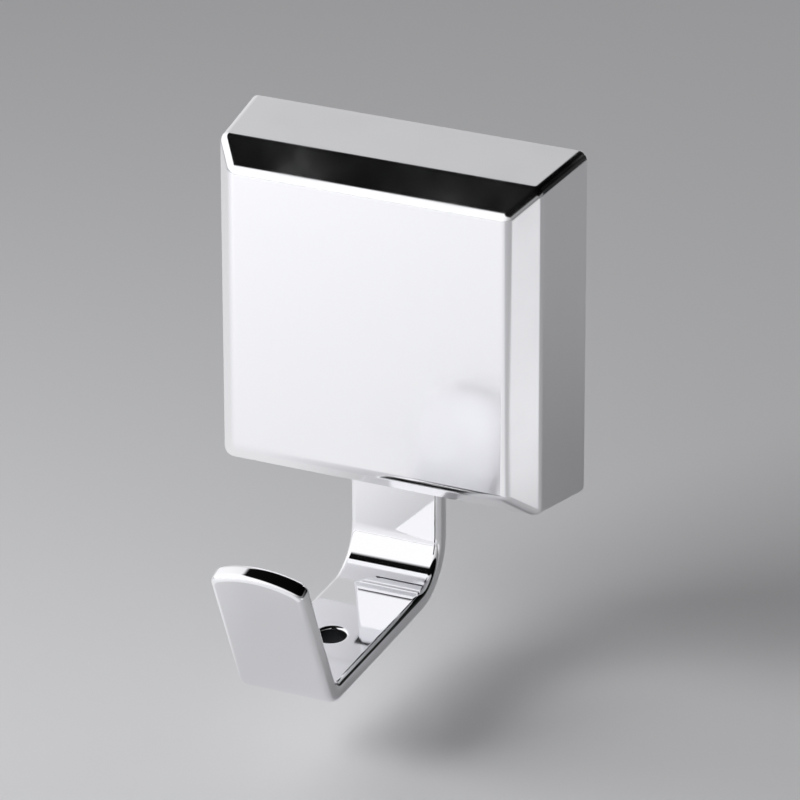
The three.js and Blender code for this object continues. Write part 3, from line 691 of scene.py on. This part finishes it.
class WALLHOOK_OT_hook(bpy.types.Operator):
    """Models the hook as a strap that is bent twice, with an arched tip, a drain hole and a screwed eye"""
    bl_idname = "wallhook.hook"
    bl_label = "Hook"

    def execute(self, context):
        sizes = context.scene.wall_hook_hook
        works = context.scene.wall_hook_works
        back = -HOOK_HIGH.y
        front = back + sizes.strap_thickness
        eye_radius = HOOK_HIGH.x
        strap = self.strap(sizes, back, eye_radius)
        eye = disc("eye", eye_radius, back, front, steps=ROUND_STEPS)
        round_edges(eye, sizes.edge_radius)
        join(strap, eye)
        cut(strap, disc("eye_hole", sizes.eye_hole, back - OVERRUN, front + OVERRUN, steps=ROUND_STEPS))
        for right, top in CORNERS:
            cut(strap, disc("screw_hole", works.screw_hole, back - OVERRUN, front + OVERRUN,
                            *screw_place(works, right, top)))
        cut(strap, self.drain_hole(sizes, back))
        finishes = context.scene.wall_hook_finishes
        finish = chrome("Chrome on zinc", finishes.hook_chrome, HOOK_ROUGHNESS, ZINC_WAVE, ZINC_WAVE_HEIGHT)
        complete(strap, finish, "base", "chromed_zinc", "hook")
        # The second material paints shade into the drain hole: a dark tint on dull thin plating.
        strap.data.materials.append(thin_plating("Painted shade on thin zinc plating", finishes.painted_shade_on_thin_zinc_plating))
        self.paint_shade_in_bore(strap, sizes, back)
        return {"FINISHED"}

    def paint_shade_in_bore(self, strap, sizes, back):
        """Paints shade on the straight wall of the drain hole: a dark tint on the dull finish of thin
        plating.
        """
        place, upward = self.drain_place(sizes, back)
        for face in strap.data.polygons:
            away = face.center - place
            upright = abs(face.normal.dot(upward)) < UPRIGHT
            if upright and (away - upward * away.dot(upward)).length < sizes.drain_radius + NEAR:
                face.material_index = DULL

    def bend(self, sizes, back):
        """The centre and the radius of the lower bend, and the ways forward and up on the floor after it."""
        half = sizes.strap_thickness / 2
        radius = sizes.bend_radius + half
        centre = Vector((0, -back - half - radius, -sizes.bend_drop))
        slope = sizes.floor_slope
        forward = Vector((0, -math.cos(slope), -math.sin(slope)))
        upward = Vector((0, -math.sin(slope), math.cos(slope)))
        return centre, radius, forward, upward

    def drain_place(self, sizes, back):
        """The middle of the drain hole in the strap, and the way up through it."""
        centre, radius, forward, upward = self.bend(sizes, back)
        return centre - upward * radius + forward * sizes.drain_place, upward

    def strap(self, sizes, back, eye_radius):
        """Draws the strap out of its section: down, round the bend, along the floor and up the lip."""
        half = sizes.strap_thickness / 2
        centre, radius, forward, upward = self.bend(sizes, back)
        top = -eye_radius * EYE_SHARE
        strap = begin("chrome_hook", bpy.ops.mesh.primitive_plane_add, size=1,
                      stretch=(sizes.strap_width, sizes.strap_thickness, 1), location=(0, -back - half, top))
        push((0, 0, -sizes.bend_drop - top))
        bpy.ops.mesh.spin(steps=BEND_STEPS, angle=QUARTER - sizes.floor_slope, center=centre, axis=ACROSS)
        push(forward * sizes.floor_length)
        lip_radius = sizes.lip_bend_radius + half
        lip_centre = centre - upward * radius + forward * sizes.floor_length + upward * lip_radius
        bpy.ops.mesh.spin(steps=LIP_BEND_STEPS, angle=QUARTER - sizes.lip_lean + sizes.floor_slope,
                          center=lip_centre, axis=ACROSS)
        lip_way = Vector((0, -math.sin(sizes.lip_lean), math.cos(sizes.lip_lean)))
        push(lip_way * sizes.lip_length)
        tip = lip_centre + Vector((0, -lip_way.z, lip_way.y)) * lip_radius + lip_way * sizes.lip_length
        tidy()
        close(strap)
        cut(strap, self.tip_cutter(sizes, tip, lip_way))
        round_edges(strap, sizes.edge_radius)
        return strap

    def tip_cutter(self, sizes, tip, lip_way):
        """A cutter that leaves the lip with an arched tip and two round corners."""
        half_width = sizes.strap_width / 2
        arch_radius = (half_width ** 2 + sizes.lip_arch ** 2) / (2 * sizes.lip_arch)
        reach = arch_radius - sizes.lip_corner
        corner_place = half_width - sizes.lip_corner * math.sin(CORNER_MEETING)
        corner_drop = arch_radius - math.sqrt(reach ** 2 - corner_place ** 2)
        meeting = math.asin(corner_place / reach)
        outline = []
        for step in range(CORNER_STEPS + 1):
            turn = CORNER_END - (CORNER_END - meeting) * step / CORNER_STEPS
            outline.append((corner_place + sizes.lip_corner * math.sin(turn),
                            sizes.lip_corner * math.cos(turn) - corner_drop))
        for step in range(1, ARCH_STEPS + 1):
            turn = meeting * (1 - step / ARCH_STEPS)
            outline.append((arch_radius * math.sin(turn), arch_radius * (math.cos(turn) - 1)))
        outline += [(-across, rise) for across, rise in reversed(outline[:-1])]
        side = half_width + OVERRUN
        low = outline[0][1] - OVERRUN * math.tan(CORNER_END)
        outline += [(-side, low), (-side, OVERRUN), (side, OVERRUN), (side, low), outline[0]]
        through = Vector((0, lip_way.z, -lip_way.y))
        depth = sizes.strap_thickness + 2 * OVERRUN
        start = tip - through * depth / 2 + Vector((outline[0][0], 0, 0)) + lip_way * outline[0][1]
        offsets = [Vector((next_across - across, 0, 0)) + lip_way * (next_rise - rise)
                   for (across, rise), (next_across, next_rise) in zip(outline, outline[1:])]
        cutter = drawn("tip", start, offsets)
        bpy.ops.mesh.edge_face_add()
        push(through * depth)
        tidy()
        return close(cutter)

    def drain_hole(self, sizes, back):
        """A cutter for the hole in the floor, with a flare that leaves a rim."""
        half = sizes.strap_thickness / 2
        place, upward = self.drain_place(sizes, back)
        cutter = begin("drain_hole", bpy.ops.mesh.primitive_cylinder_add, vertices=SMALL_ROUND_STEPS,
                       radius=sizes.drain_radius, depth=sizes.strap_thickness, location=place,
                       rotation=(sizes.floor_slope, 0, 0))
        pick(cutter, "FACE", lambda face: face.normal.dot(upward) < -FACING)
        bpy.ops.transform.translate(value=-upward * OVERRUN)
        pick(cutter, "FACE", lambda face: face.normal.dot(upward) > FACING)
        bpy.ops.transform.translate(value=-upward * sizes.drain_rim)
        for share in range(1, SMALL_EDGE_SEGMENTS + 1):
            turn = QUARTER * share / SMALL_EDGE_SEGMENTS
            earlier = QUARTER * (share - 1) / SMALL_EDGE_SEGMENTS
            rise = sizes.drain_rim * (math.sin(turn) - math.sin(earlier))
            near_radius = sizes.drain_radius + sizes.drain_rim * (1 - math.cos(earlier))
            far_radius = sizes.drain_radius + sizes.drain_rim * (1 - math.cos(turn))
            push(upward * rise)
            level = place + upward * (half - sizes.drain_rim + sizes.drain_rim * math.sin(turn))
            bpy.ops.transform.resize(value=(far_radius / near_radius,) * 3, center_override=level)
        push(upward * OVERRUN)
        tidy()
        return close(cutter)


class WALLHOOK_OT_pressure_plate(bpy.types.Operator):
    """Models the pressure plate with its skirt, its boss, four ears and four screw pillars"""
    bl_idname = "wallhook.pressure_plate"
    bl_label = "Pressure plate"

    def execute(self, context):
        sizes = context.scene.wall_hook_works
        cover = context.scene.wall_hook_cover
        radius = PLATE_HIGH.x
        boss_front = -PLATE_LOW.y
        skirt_back = -PLATE_HIGH.y
        plate = turned("pressure_plate", [
            (sizes.stud_hole - OVERRUN, boss_front),
            (sizes.boss_radius, boss_front),
            (sizes.boss_radius, sizes.web_front),
            (radius, sizes.web_front),
            (radius, skirt_back),
            (radius - sizes.skirt_wall, skirt_back),
            (radius - sizes.skirt_wall, sizes.web_back),
            (sizes.recess_radius, sizes.web_back),
            (sizes.recess_radius, sizes.web_front),
            (sizes.stud_hole - OVERRUN, sizes.web_front),
            (sizes.stud_hole - OVERRUN, boss_front),
        ], PLATE_EDGE)
        for right, top in CORNERS:
            self.ear(plate, sizes, cover, right, top)
        self.stud_hole(plate, sizes, boss_front)
        tint = context.scene.wall_hook_finishes.black_plastic
        finish = moulded_plastic("Black ABS", tint, PLATE_ROUGHNESS)
        complete(plate, finish, "base", "dark_plastic", "base_plate")
        return {"FINISHED"}

    def ear(self, plate, sizes, cover, right, top):
        """Joins one ear and one screw pillar to the plate and makes their holes."""
        place = right * cover.post_place, top * cover.post_place
        screw = screw_place(sizes, right, top)
        pillar_back = sizes.web_back - sizes.pillar_drop
        ear = tongue("ear", sizes.ear_radius, sizes.web_back + EAR_STEP, sizes.web_front - EAR_STEP,
                     *place, sizes.ear_arm)
        round_edges(ear, PLATE_EDGE, SMALL_EDGE_SEGMENTS)
        pillar = disc("pillar", sizes.screw_hole + sizes.pillar_wall, pillar_back, sizes.web_back + WELD,
                      *screw)
        join(plate, ear, pillar)
        hole_front = sizes.web_front + OVERRUN
        cut(plate,
            disc("post_hole", sizes.ear_hole, sizes.web_back - OVERRUN, hole_front, *place),
            disc("screw_hole", sizes.screw_hole, pillar_back - OVERRUN, hole_front, *screw))

    def stud_hole(self, plate, sizes, boss_front):
        """Opens the hole that guides the stud by its two flats."""
        hole = disc("stud_hole", sizes.stud_hole, sizes.web_front - OVERRUN, boss_front + OVERRUN,
                    steps=ROUND_STEPS)
        flats = block("flats", 2 * sizes.stud_hole_flat, 2 * sizes.stud_hole + OVERRUN,
                      sizes.web_front - 2 * OVERRUN, boss_front + 2 * OVERRUN)
        combine(hole, flats, "INTERSECT")
        cut(plate, hole)


class WALLHOOK_OT_cup(bpy.types.Operator):
    """Models the suction cup with its hub and its release tab"""
    bl_idname = "wallhook.cup"
    bl_label = "Suction cup"

    def execute(self, context):
        sizes = context.scene.wall_hook_works
        finish = soft_plastic("Soft PVC", context.scene.wall_hook_finishes.clear_rubber)
        dome = self.dome(sizes)
        join(dome, self.tab(sizes))
        dress(dome, finish, "base")
        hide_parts("suction_cup")
        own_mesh(dome)
        dress(self.hub(sizes), finish, "stud")
        return {"FINISHED"}

    def dome(self, sizes):
        """The rim and the dome, which runs a little way into the hub."""
        inner = sizes.cup_radius - sizes.cup_contact
        sunk = sizes.cup_hub_radius - WELD
        longer = (inner - sunk) / (inner - sizes.cup_hub_radius)
        rise = sizes.cup_chamber + sizes.cup_dome - sizes.cup_rim
        return turned("soft_cup", [
            (sunk, sizes.cup_chamber * longer),
            (inner, 0),
            (sizes.cup_radius, 0),
            (sizes.cup_radius, sizes.cup_rim),
            (inner, sizes.cup_rim),
            (sunk, sizes.cup_rim + rise * longer),
            (sunk, sizes.cup_chamber * longer),
        ], CUP_EDGE)

    def hub(self, sizes):
        """The thick middle of the cup, with the pocket that holds the stud's flange."""
        back = sizes.cup_chamber - CUP_STEP
        return turned("soft_cup_hub", [
            (0, back),
            (sizes.cup_hub_radius, back),
            (sizes.cup_hub_radius, sizes.cup_hub_front),
            (sizes.stud_hole, sizes.cup_hub_front),
            (sizes.stud_hole, sizes.cup_pocket_front),
            (sizes.cup_pocket_radius, sizes.cup_pocket_front),
            (sizes.cup_pocket_radius, sizes.cup_pocket_back),
            (0, sizes.cup_pocket_back),
        ], CUP_EDGE)

    def tab(self, sizes):
        """The tongue on the rim, at the upper left seen from the front."""
        reach = (sizes.cup_radius + sizes.tab_reach - sizes.tab_width / 2) * DIAGONAL
        back = (sizes.cup_rim - sizes.tab_thickness) / 2
        tab = tongue("tab", sizes.tab_width / 2, back, back + sizes.tab_thickness,
                     -reach, reach, sizes.tab_reach)
        round_edges(tab, TAB_EDGE, SMALL_EDGE_SEGMENTS)
        return tab


class WALLHOOK_OT_knob(bpy.types.Operator):
    """Models the lock knob as a lobed disc with a grip bar, a crown, a hub and a bore"""
    bl_idname = "wallhook.knob"
    bl_label = "Lock knob"

    def execute(self, context):
        sizes = context.scene.wall_hook_works
        front, hub_back = -KNOB_LOW.y, -KNOB_HIGH.y
        disc_front = sizes.knob_disc_back + sizes.knob_disc
        knob = self.lobed_disc(sizes, KNOB_HIGH.x)
        crown = disc("crown", sizes.knob_hub, disc_front - WELD, front, steps=ROUND_STEPS)
        round_edges(crown, KNOB_EDGE)
        hub = disc("hub", sizes.knob_hub, hub_back, sizes.knob_disc_back + WELD, steps=ROUND_STEPS)
        join(knob, self.grip(sizes, disc_front, front), crown, hub)
        cut(knob, disc("bore", sizes.knob_bore, hub_back - OVERRUN, sizes.knob_bore_front,
                       steps=ROUND_STEPS))
        tint = context.scene.wall_hook_finishes.knob_plastic
        finish = moulded_plastic("Grey ABS", tint, KNOB_ROUGHNESS)
        complete(knob, finish, "knob", "grey_plastic", "lock_knob")
        return {"FINISHED"}

    def lobed_disc(self, sizes, radius):
        """The disc of the knob: a circle whose points are drawn in between the lobes."""
        steps = sizes.knob_lobes * LOBE_STEPS
        disc_front = sizes.knob_disc_back + sizes.knob_disc
        knob = disc("lock_knob_body", radius, sizes.knob_disc_back, disc_front, steps=steps)
        bpy.ops.object.mode_set(mode="EDIT")
        step_angle = FULL_TURN / steps

        def phase(point):
            turn = round(math.atan2(point.co.z, point.co.x) / step_angle) % LOBE_STEPS
            return min(turn, LOBE_STEPS - turn)

        centre = (0, -(sizes.knob_disc_back + disc_front) / 2, 0)
        for step in range(1, LOBE_STEPS // 2 + 1):
            drawn_in = sizes.knob_lobe * (1 - math.cos(FULL_TURN * step / LOBE_STEPS)) / 2
            share = (radius - drawn_in) / radius
            pick(knob, "VERT", lambda point: phase(point) == step)
            resize(share, 1, share, centre)
        close(knob)
        round_edges(knob, KNOB_EDGE)
        return knob

    def grip(self, sizes, back, front):
        """The grip bar across the knob, with round ends."""
        half_width = sizes.knob_bar_width / 2
        bar = disc("grip", half_width, back - WELD, front)
        bpy.ops.object.mode_set(mode="EDIT")
        for side in (1, -1):
            pick(bar, "VERT", lambda point: point.co.x * side > NEAR)
            bpy.ops.transform.translate(value=(side * (sizes.knob_bar_length / 2 - half_width), 0, 0))
        close(bar)
        round_edges(bar, GRIP_EDGE)
        return bar


class WALLHOOK_OT_washer(bpy.types.Operator):
    """Models the slip washer between the boss and the knob"""
    bl_idname = "wallhook.washer"
    bl_label = "Thrust washer"

    def execute(self, context):
        sizes = context.scene.wall_hook_works
        back, front = -WASHER_HIGH.y, -WASHER_LOW.y
        outer = WASHER_HIGH.x
        washer = turned("slip_washer", [
            (sizes.stud_hole, back),
            (outer, back),
            (outer, front),
            (sizes.stud_hole, front),
            (sizes.stud_hole, back),
        ], WASHER_EDGE)
        finish = acetal("Acetal", context.scene.wall_hook_finishes.washer_plastic)
        complete(washer, finish, "base", "slip_plastic", "thrust_washer")
        return {"FINISHED"}


class WALLHOOK_OT_screws(bpy.types.Operator):
    """Models one pan-head screw with a cross recess and copies it to the four places"""
    bl_idname = "wallhook.screws"
    bl_label = "Hook screws"

    def execute(self, context):
        sizes = context.scene.wall_hook_works
        tip, front = -SCREW_HIGH.y, -SCREW_LOW.y
        head_back = front - sizes.screw_head_height
        screw = turned("screw", [
            (0, tip),
            (sizes.screw_radius, tip + sizes.screw_point),
            (sizes.screw_radius, head_back),
            (sizes.screw_head, head_back),
            (sizes.screw_head, front),
            (0, front),
        ], SCREW_EDGE, steps=SMALL_ROUND_STEPS)
        recess = front - sizes.cross_depth
        cut(screw,
            block("cross", sizes.cross_width, sizes.cross_length, recess, front + OVERRUN),
            block("cross", sizes.cross_length, sizes.cross_width, recess, front + OVERRUN))
        tint = context.scene.wall_hook_finishes.screw_steel
        finish = machined_metal("Nickel-plated steel", tint, SCREW_ROUGHNESS)
        for index, name in enumerate(SCREW_NODES):
            low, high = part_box(name)
            copy = copied(screw, f"pan_screw_{index + 1}", (low.x + high.x) / 2, (low.z + high.z) / 2)
            complete(copy, finish, "base", "screw_steel", name)
        bpy.data.objects.remove(screw, do_unlink=True)
        return {"FINISHED"}


class WALLHOOK_OT_thread_parts(bpy.types.Operator):
    """Gives the threaded stud and the brass insert their finish; their shapes come from the frame"""
    bl_idname = "wallhook.thread_parts"
    bl_label = "Stud and insert"

    def execute(self, context):
        finishes = context.scene.wall_hook_finishes
        metals = {
            "cup_stud": machined_metal("Zinc-plated steel", finishes.stud_steel, STUD_ROUGHNESS),
            "knob_insert": machined_metal("Turned brass", finishes.brass, BRASS_ROUGHNESS),
        }
        for name, metal in metals.items():
            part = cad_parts[name]
            part.data.materials.clear()
            part.data.materials.append(metal)
        return {"FINISHED"}


# Stage: where the photograph was taken from, and what stands round the hook.
IMAGE_SIDE = 800
TARGET_PIXEL = (417.97, 293.55)
VIEW_AZIMUTH = math.radians(25.494)
VIEW_ELEVATION = math.radians(23.005)
VIEW_ROLL = math.radians(-0.099)
VIEW_DISTANCE = 1118.9 * MM
PIXELS_PER_METRE = 5.759 / MM
SENSOR = 36
CLIP_START = 10 * MM
STUDIO_WHITE = "#fefeff"

FLOOR_GAP = 14 * MM
FLOOR_RADIUS = 1.6
FLOOR_FADE_START = 0.35
FLOOR_FADE_END = 0.8
# Patches of the floor that look paler in the chrome: their edges, in depth too, and how soft they are.
FRONT_PATCH = {"left": -0.29, "right": 0.06, "near": 0.085, "far": 0.40, "soft": 0.015}
LEFT_PATCH = {"left": -0.29, "right": -0.03, "near": -0.15, "far": 0.10, "soft": 0.015}
RIGHT_PATCH = {"left": 0.11, "right": 0.29, "near": 0.02, "far": 0.12, "soft": 0.03}
# How much paler: in front and on the left this runs from the far glow to the near one between two depths.
FAR_GLOW = 0.24
FAR_GLOW_DEPTH = 0.22
NEAR_GLOW = 0.30
NEAR_GLOW_DEPTH = 0.11
RIGHT_GLOW = 0.45

# The ceiling is where this much of a direction points up and a little to the right.
CEILING_WAY = (0.4, 0.0, 1.0)
CEILING_START = 0.53
CEILING_END = 0.61
CEILING_LIGHT = 0.004
# The walls are brightest at the front left, and away from there they get darker towards the rear.
BRIGHT_WAY = (-0.88, -0.42, 0.0)
BRIGHT_REACH = 0.6
BRIGHT_LIGHT = 1.1
REAR_START = 0.25
REAR_END = 0.65
SIDE_LIGHT = 0.22
REAR_LIGHT = 0.02

# The softboxes: where each stands, what it faces, how long its sides are, and its power.
KEY_LAMP = {"place": (-0.40, -0.42, 0.26), "aim": (-0.04, -0.13, -0.06), "side": 0.34, "power": 1.1}
RIM_LAMP = {"place": (0.47, 1.0, 0.47), "aim": (0, 0, 0), "side": 0.2, "power": 0.126}
LAMP_SPREAD = math.radians(110)


class WALLHOOK_OT_stage(bpy.types.Operator):
    """Sets up the pale floor, the soft studio light and the camera at the photograph's angle"""
    bl_idname = "wallhook.stage"
    bl_label = "Stage"

    def execute(self, context):
        self.camera(context)
        self.floor(context)
        self.world(context)
        key = self.lamp("key", **KEY_LAMP)
        key.visible_glossy = False
        self.lamp("rim", **RIM_LAMP)
        context.scene.view_settings.view_transform = "Standard"
        return {"FINISHED"}

    def camera(self, context):
        """A long lens that shows the middle of the cover's rear at its pixel."""
        level = math.cos(VIEW_ELEVATION)
        backward = Vector((math.sin(VIEW_AZIMUTH) * level, -math.cos(VIEW_AZIMUTH) * level,
                           math.sin(VIEW_ELEVATION)))
        right = Vector((0, 0, 1)).cross(backward).normalized()
        upward = backward.cross(right)
        target = Vector((0, COVER_HIGH.y, 0))
        focal = PIXELS_PER_METRE * VIEW_DISTANCE
        off_right = TARGET_PIXEL[0] - IMAGE_SIDE / 2
        off_up = IMAGE_SIDE / 2 - TARGET_PIXEL[1]
        turned_back = (backward * focal + right * off_right + upward * off_up).normalized()
        turned_right = upward.cross(turned_back).normalized()
        turned_up = turned_back.cross(turned_right)
        facing = Matrix((turned_right, turned_up, turned_back)).transposed().to_4x4()
        bpy.ops.object.camera_add()
        camera = bpy.context.object
        camera.name = "camera"
        place = Matrix.Translation(target + backward * VIEW_DISTANCE)
        camera.matrix_world = place @ facing @ Matrix.Rotation(VIEW_ROLL, 4, "Z")
        camera.data.sensor_width = SENSOR
        camera.data.lens = SENSOR * focal / IMAGE_SIDE
        camera.data.clip_start = CLIP_START
        context.scene.camera = camera

    def floor(self, context):
        """A wide pale disc under the hook."""
        low = HOOK_LOW.z - FLOOR_GAP
        floor = begin("floor", bpy.ops.mesh.primitive_circle_add, vertices=ROUND_STEPS, radius=FLOOR_RADIUS,
                      fill_type="NGON", location=(0, 0, low))
        close(floor)
        floor.data.materials.append(self.floor_material(context.scene.wall_hook_finishes.floor))

    def floor_material(self, tint):
        """Pale paper that looks paler in the chrome and fades out in the distance."""
        material, tree, surface, place = new_material("Pale floor")
        paper = node(tree, "ShaderNodeBsdfDiffuse", {"Color": tint})
        shine = node(tree, "ShaderNodeEmission", {
            "Color": linear(STUDIO_WHITE), "Strength": self.mirrored_glow(tree, place)})
        lit = node(tree, "ShaderNodeAddShader", {0: paper.outputs["BSDF"], 1: shine.outputs["Emission"]})
        clear = node(tree, "ShaderNodeBsdfTransparent")
        distance = node(tree, "ShaderNodeVectorMath", {0: place}, operation="LENGTH")
        fade = node(tree, "ShaderNodeMapRange", {
            "Value": distance.outputs["Value"], "From Min": FLOOR_FADE_START, "From Max": FLOOR_FADE_END},
            interpolation_type="SMOOTHSTEP")
        mixed = node(tree, "ShaderNodeMixShader", {
            0: fade.outputs["Result"], 1: lit.outputs["Shader"], 2: clear.outputs["BSDF"]})
        tree.links.new(mixed.outputs["Shader"], surface)
        return material

    def mirrored_glow(self, tree, place):
        """How much paler the floor looks in the chrome, in front of the hook and on both sides."""
        front = self.patch(tree, place, **FRONT_PATCH)
        left = self.patch(tree, place, **LEFT_PATCH)
        right = self.patch(tree, place, **RIGHT_PATCH)
        either = node(tree, "ShaderNodeMath", {0: front, 1: left}, operation="MAXIMUM").outputs["Value"]
        rearward = node(tree, "ShaderNodeSeparateXYZ", {"Vector": place}).outputs["Y"]
        level = node(tree, "ShaderNodeMapRange", {
            "Value": rearward, "From Min": -FAR_GLOW_DEPTH, "From Max": -NEAR_GLOW_DEPTH,
            "To Min": FAR_GLOW, "To Max": NEAR_GLOW}).outputs["Result"]
        both = node(tree, "ShaderNodeMath", {0: either, 1: level}, operation="MULTIPLY").outputs["Value"]
        glow = node(tree, "ShaderNodeMath", {0: right, 1: RIGHT_GLOW, 2: both}, operation="MULTIPLY_ADD")
        mirrored = node(tree, "ShaderNodeLightPath").outputs["Is Glossy Ray"]
        shown = node(tree, "ShaderNodeMath", {0: mirrored, 1: glow.outputs["Value"]}, operation="MULTIPLY")
        return shown.outputs["Value"]

    def patch(self, tree, place, left, right, near, far, soft):
        """A patch of the floor: 1 inside and 0 outside, with soft edges."""
        spot = node(tree, "ShaderNodeSeparateXYZ", {"Vector": place})
        sides = [("X", left, soft), ("X", right, -soft), ("Y", -near, -soft), ("Y", -far, soft)]
        inside = 1.0
        for axis, edge, inward in sides:
            step = node(tree, "ShaderNodeMapRange", {
                "Value": spot.outputs[axis], "From Min": edge - inward, "From Max": edge + inward},
                interpolation_type="SMOOTHSTEP").outputs["Result"]
            product = node(tree, "ShaderNodeMath", {0: step, 1: inside}, operation="MULTIPLY")
            inside = product.outputs["Value"]
        return inside

    def world(self, context):
        """A room that is pale at the front left, with a dark ceiling that gives chrome its black edges."""
        world = context.scene.world or bpy.data.worlds.new("studio")
        context.scene.world = world
        world.use_nodes = True
        tree = world.node_tree
        tree.nodes.clear()
        way = node(tree, "ShaderNodeTexCoord").outputs["Generated"]
        upward = node(tree, "ShaderNodeVectorMath", {0: way, 1: CEILING_WAY}, operation="DOT_PRODUCT")
        ceiling = node(tree, "ShaderNodeMapRange", {
            "Value": upward.outputs["Value"], "From Min": CEILING_START, "From Max": CEILING_END,
            "To Min": 1.0, "To Max": CEILING_LIGHT}, interpolation_type="SMOOTHSTEP")
        rearward = node(tree, "ShaderNodeSeparateXYZ", {"Vector": way}).outputs["Y"]
        dark_wall = node(tree, "ShaderNodeMapRange", {
            "Value": rearward, "From Min": REAR_START, "From Max": REAR_END,
            "To Min": SIDE_LIGHT, "To Max": REAR_LIGHT})
        to_front = node(tree, "ShaderNodeVectorMath", {0: way, 1: BRIGHT_WAY}, operation="DOT_PRODUCT")
        walls = node(tree, "ShaderNodeMapRange", {
            "Value": to_front.outputs["Value"], "From Min": -BRIGHT_REACH, "From Max": BRIGHT_REACH,
            "To Min": dark_wall.outputs["Result"], "To Max": BRIGHT_LIGHT})
        strength = node(tree, "ShaderNodeMath", {
            0: ceiling.outputs["Result"], 1: walls.outputs["Result"]}, operation="MULTIPLY")
        background = node(tree, "ShaderNodeBackground", {
            "Color": linear(STUDIO_WHITE), "Strength": strength.outputs["Value"]})
        output = node(tree, "ShaderNodeOutputWorld")
        tree.links.new(background.outputs["Background"], output.inputs["Surface"])

    def lamp(self, name, place, aim, side, power):
        """A square softbox that faces a point."""
        bpy.ops.object.light_add(type="AREA", location=place)
        lamp = bpy.context.object
        lamp.name = name
        lamp.rotation_euler = (Vector(place) - Vector(aim)).to_track_quat("Z", "Y").to_euler()
        lamp.data.shape = "SQUARE"
        lamp.data.size = side
        lamp.data.energy = power
        lamp.data.spread = LAMP_SPREAD
        lamp.visible_camera = False
        return lamp


class VIEW3D_PT_wall_hook(bpy.types.Panel):
    """Lists the pieces of the wall hook with their sizes"""
    bl_label = "Wall Hook"
    bl_category = "Wall Hook"
    bl_space_type = "VIEW_3D"
    bl_region_type = "UI"

    def draw(self, context):
        for operator in OPERATORS:
            self.layout.operator(operator.bl_idname)
        for name, group in GROUPS.items():
            box = self.layout.box()
            box.label(text=group.__doc__)
            for setting in group.__annotations__:
                box.prop(getattr(context.scene, name), setting)


GROUPS = {
    "wall_hook_cover": CoverSizes,
    "wall_hook_hook": HookSizes,
    "wall_hook_works": WorksSizes,
    "wall_hook_finishes": Finishes,
}
OPERATORS = [
    WALLHOOK_OT_stage,
    WALLHOOK_OT_cover,
    WALLHOOK_OT_hook,
    WALLHOOK_OT_pressure_plate,
    WALLHOOK_OT_cup,
    WALLHOOK_OT_knob,
    WALLHOOK_OT_washer,
    WALLHOOK_OT_screws,
    WALLHOOK_OT_thread_parts,
]


def register():
    """Registers the settings, the operators and the panel."""
    for made in [*GROUPS.values(), *OPERATORS, VIEW3D_PT_wall_hook]:
        bpy.utils.register_class(made)
    for name, group in GROUPS.items():
        setattr(bpy.types.Scene, name, bpy.props.PointerProperty(type=group))


def unregister():
    """Takes away what register adds."""
    for name in GROUPS:
        delattr(bpy.types.Scene, name)
    for made in reversed([*GROUPS.values(), *OPERATORS, VIEW3D_PT_wall_hook]):
        bpy.utils.unregister_class(made)


def main():
    """Sets up the stage and models the hook piece by piece."""
    register()
    bpy.ops.wallhook.stage()
    bpy.ops.wallhook.cover()
    bpy.ops.wallhook.hook()
    bpy.ops.wallhook.pressure_plate()
    bpy.ops.wallhook.cup()
    bpy.ops.wallhook.knob()
    bpy.ops.wallhook.washer()
    bpy.ops.wallhook.screws()
    bpy.ops.wallhook.thread_parts()


if __name__ == "__main__":
    main()
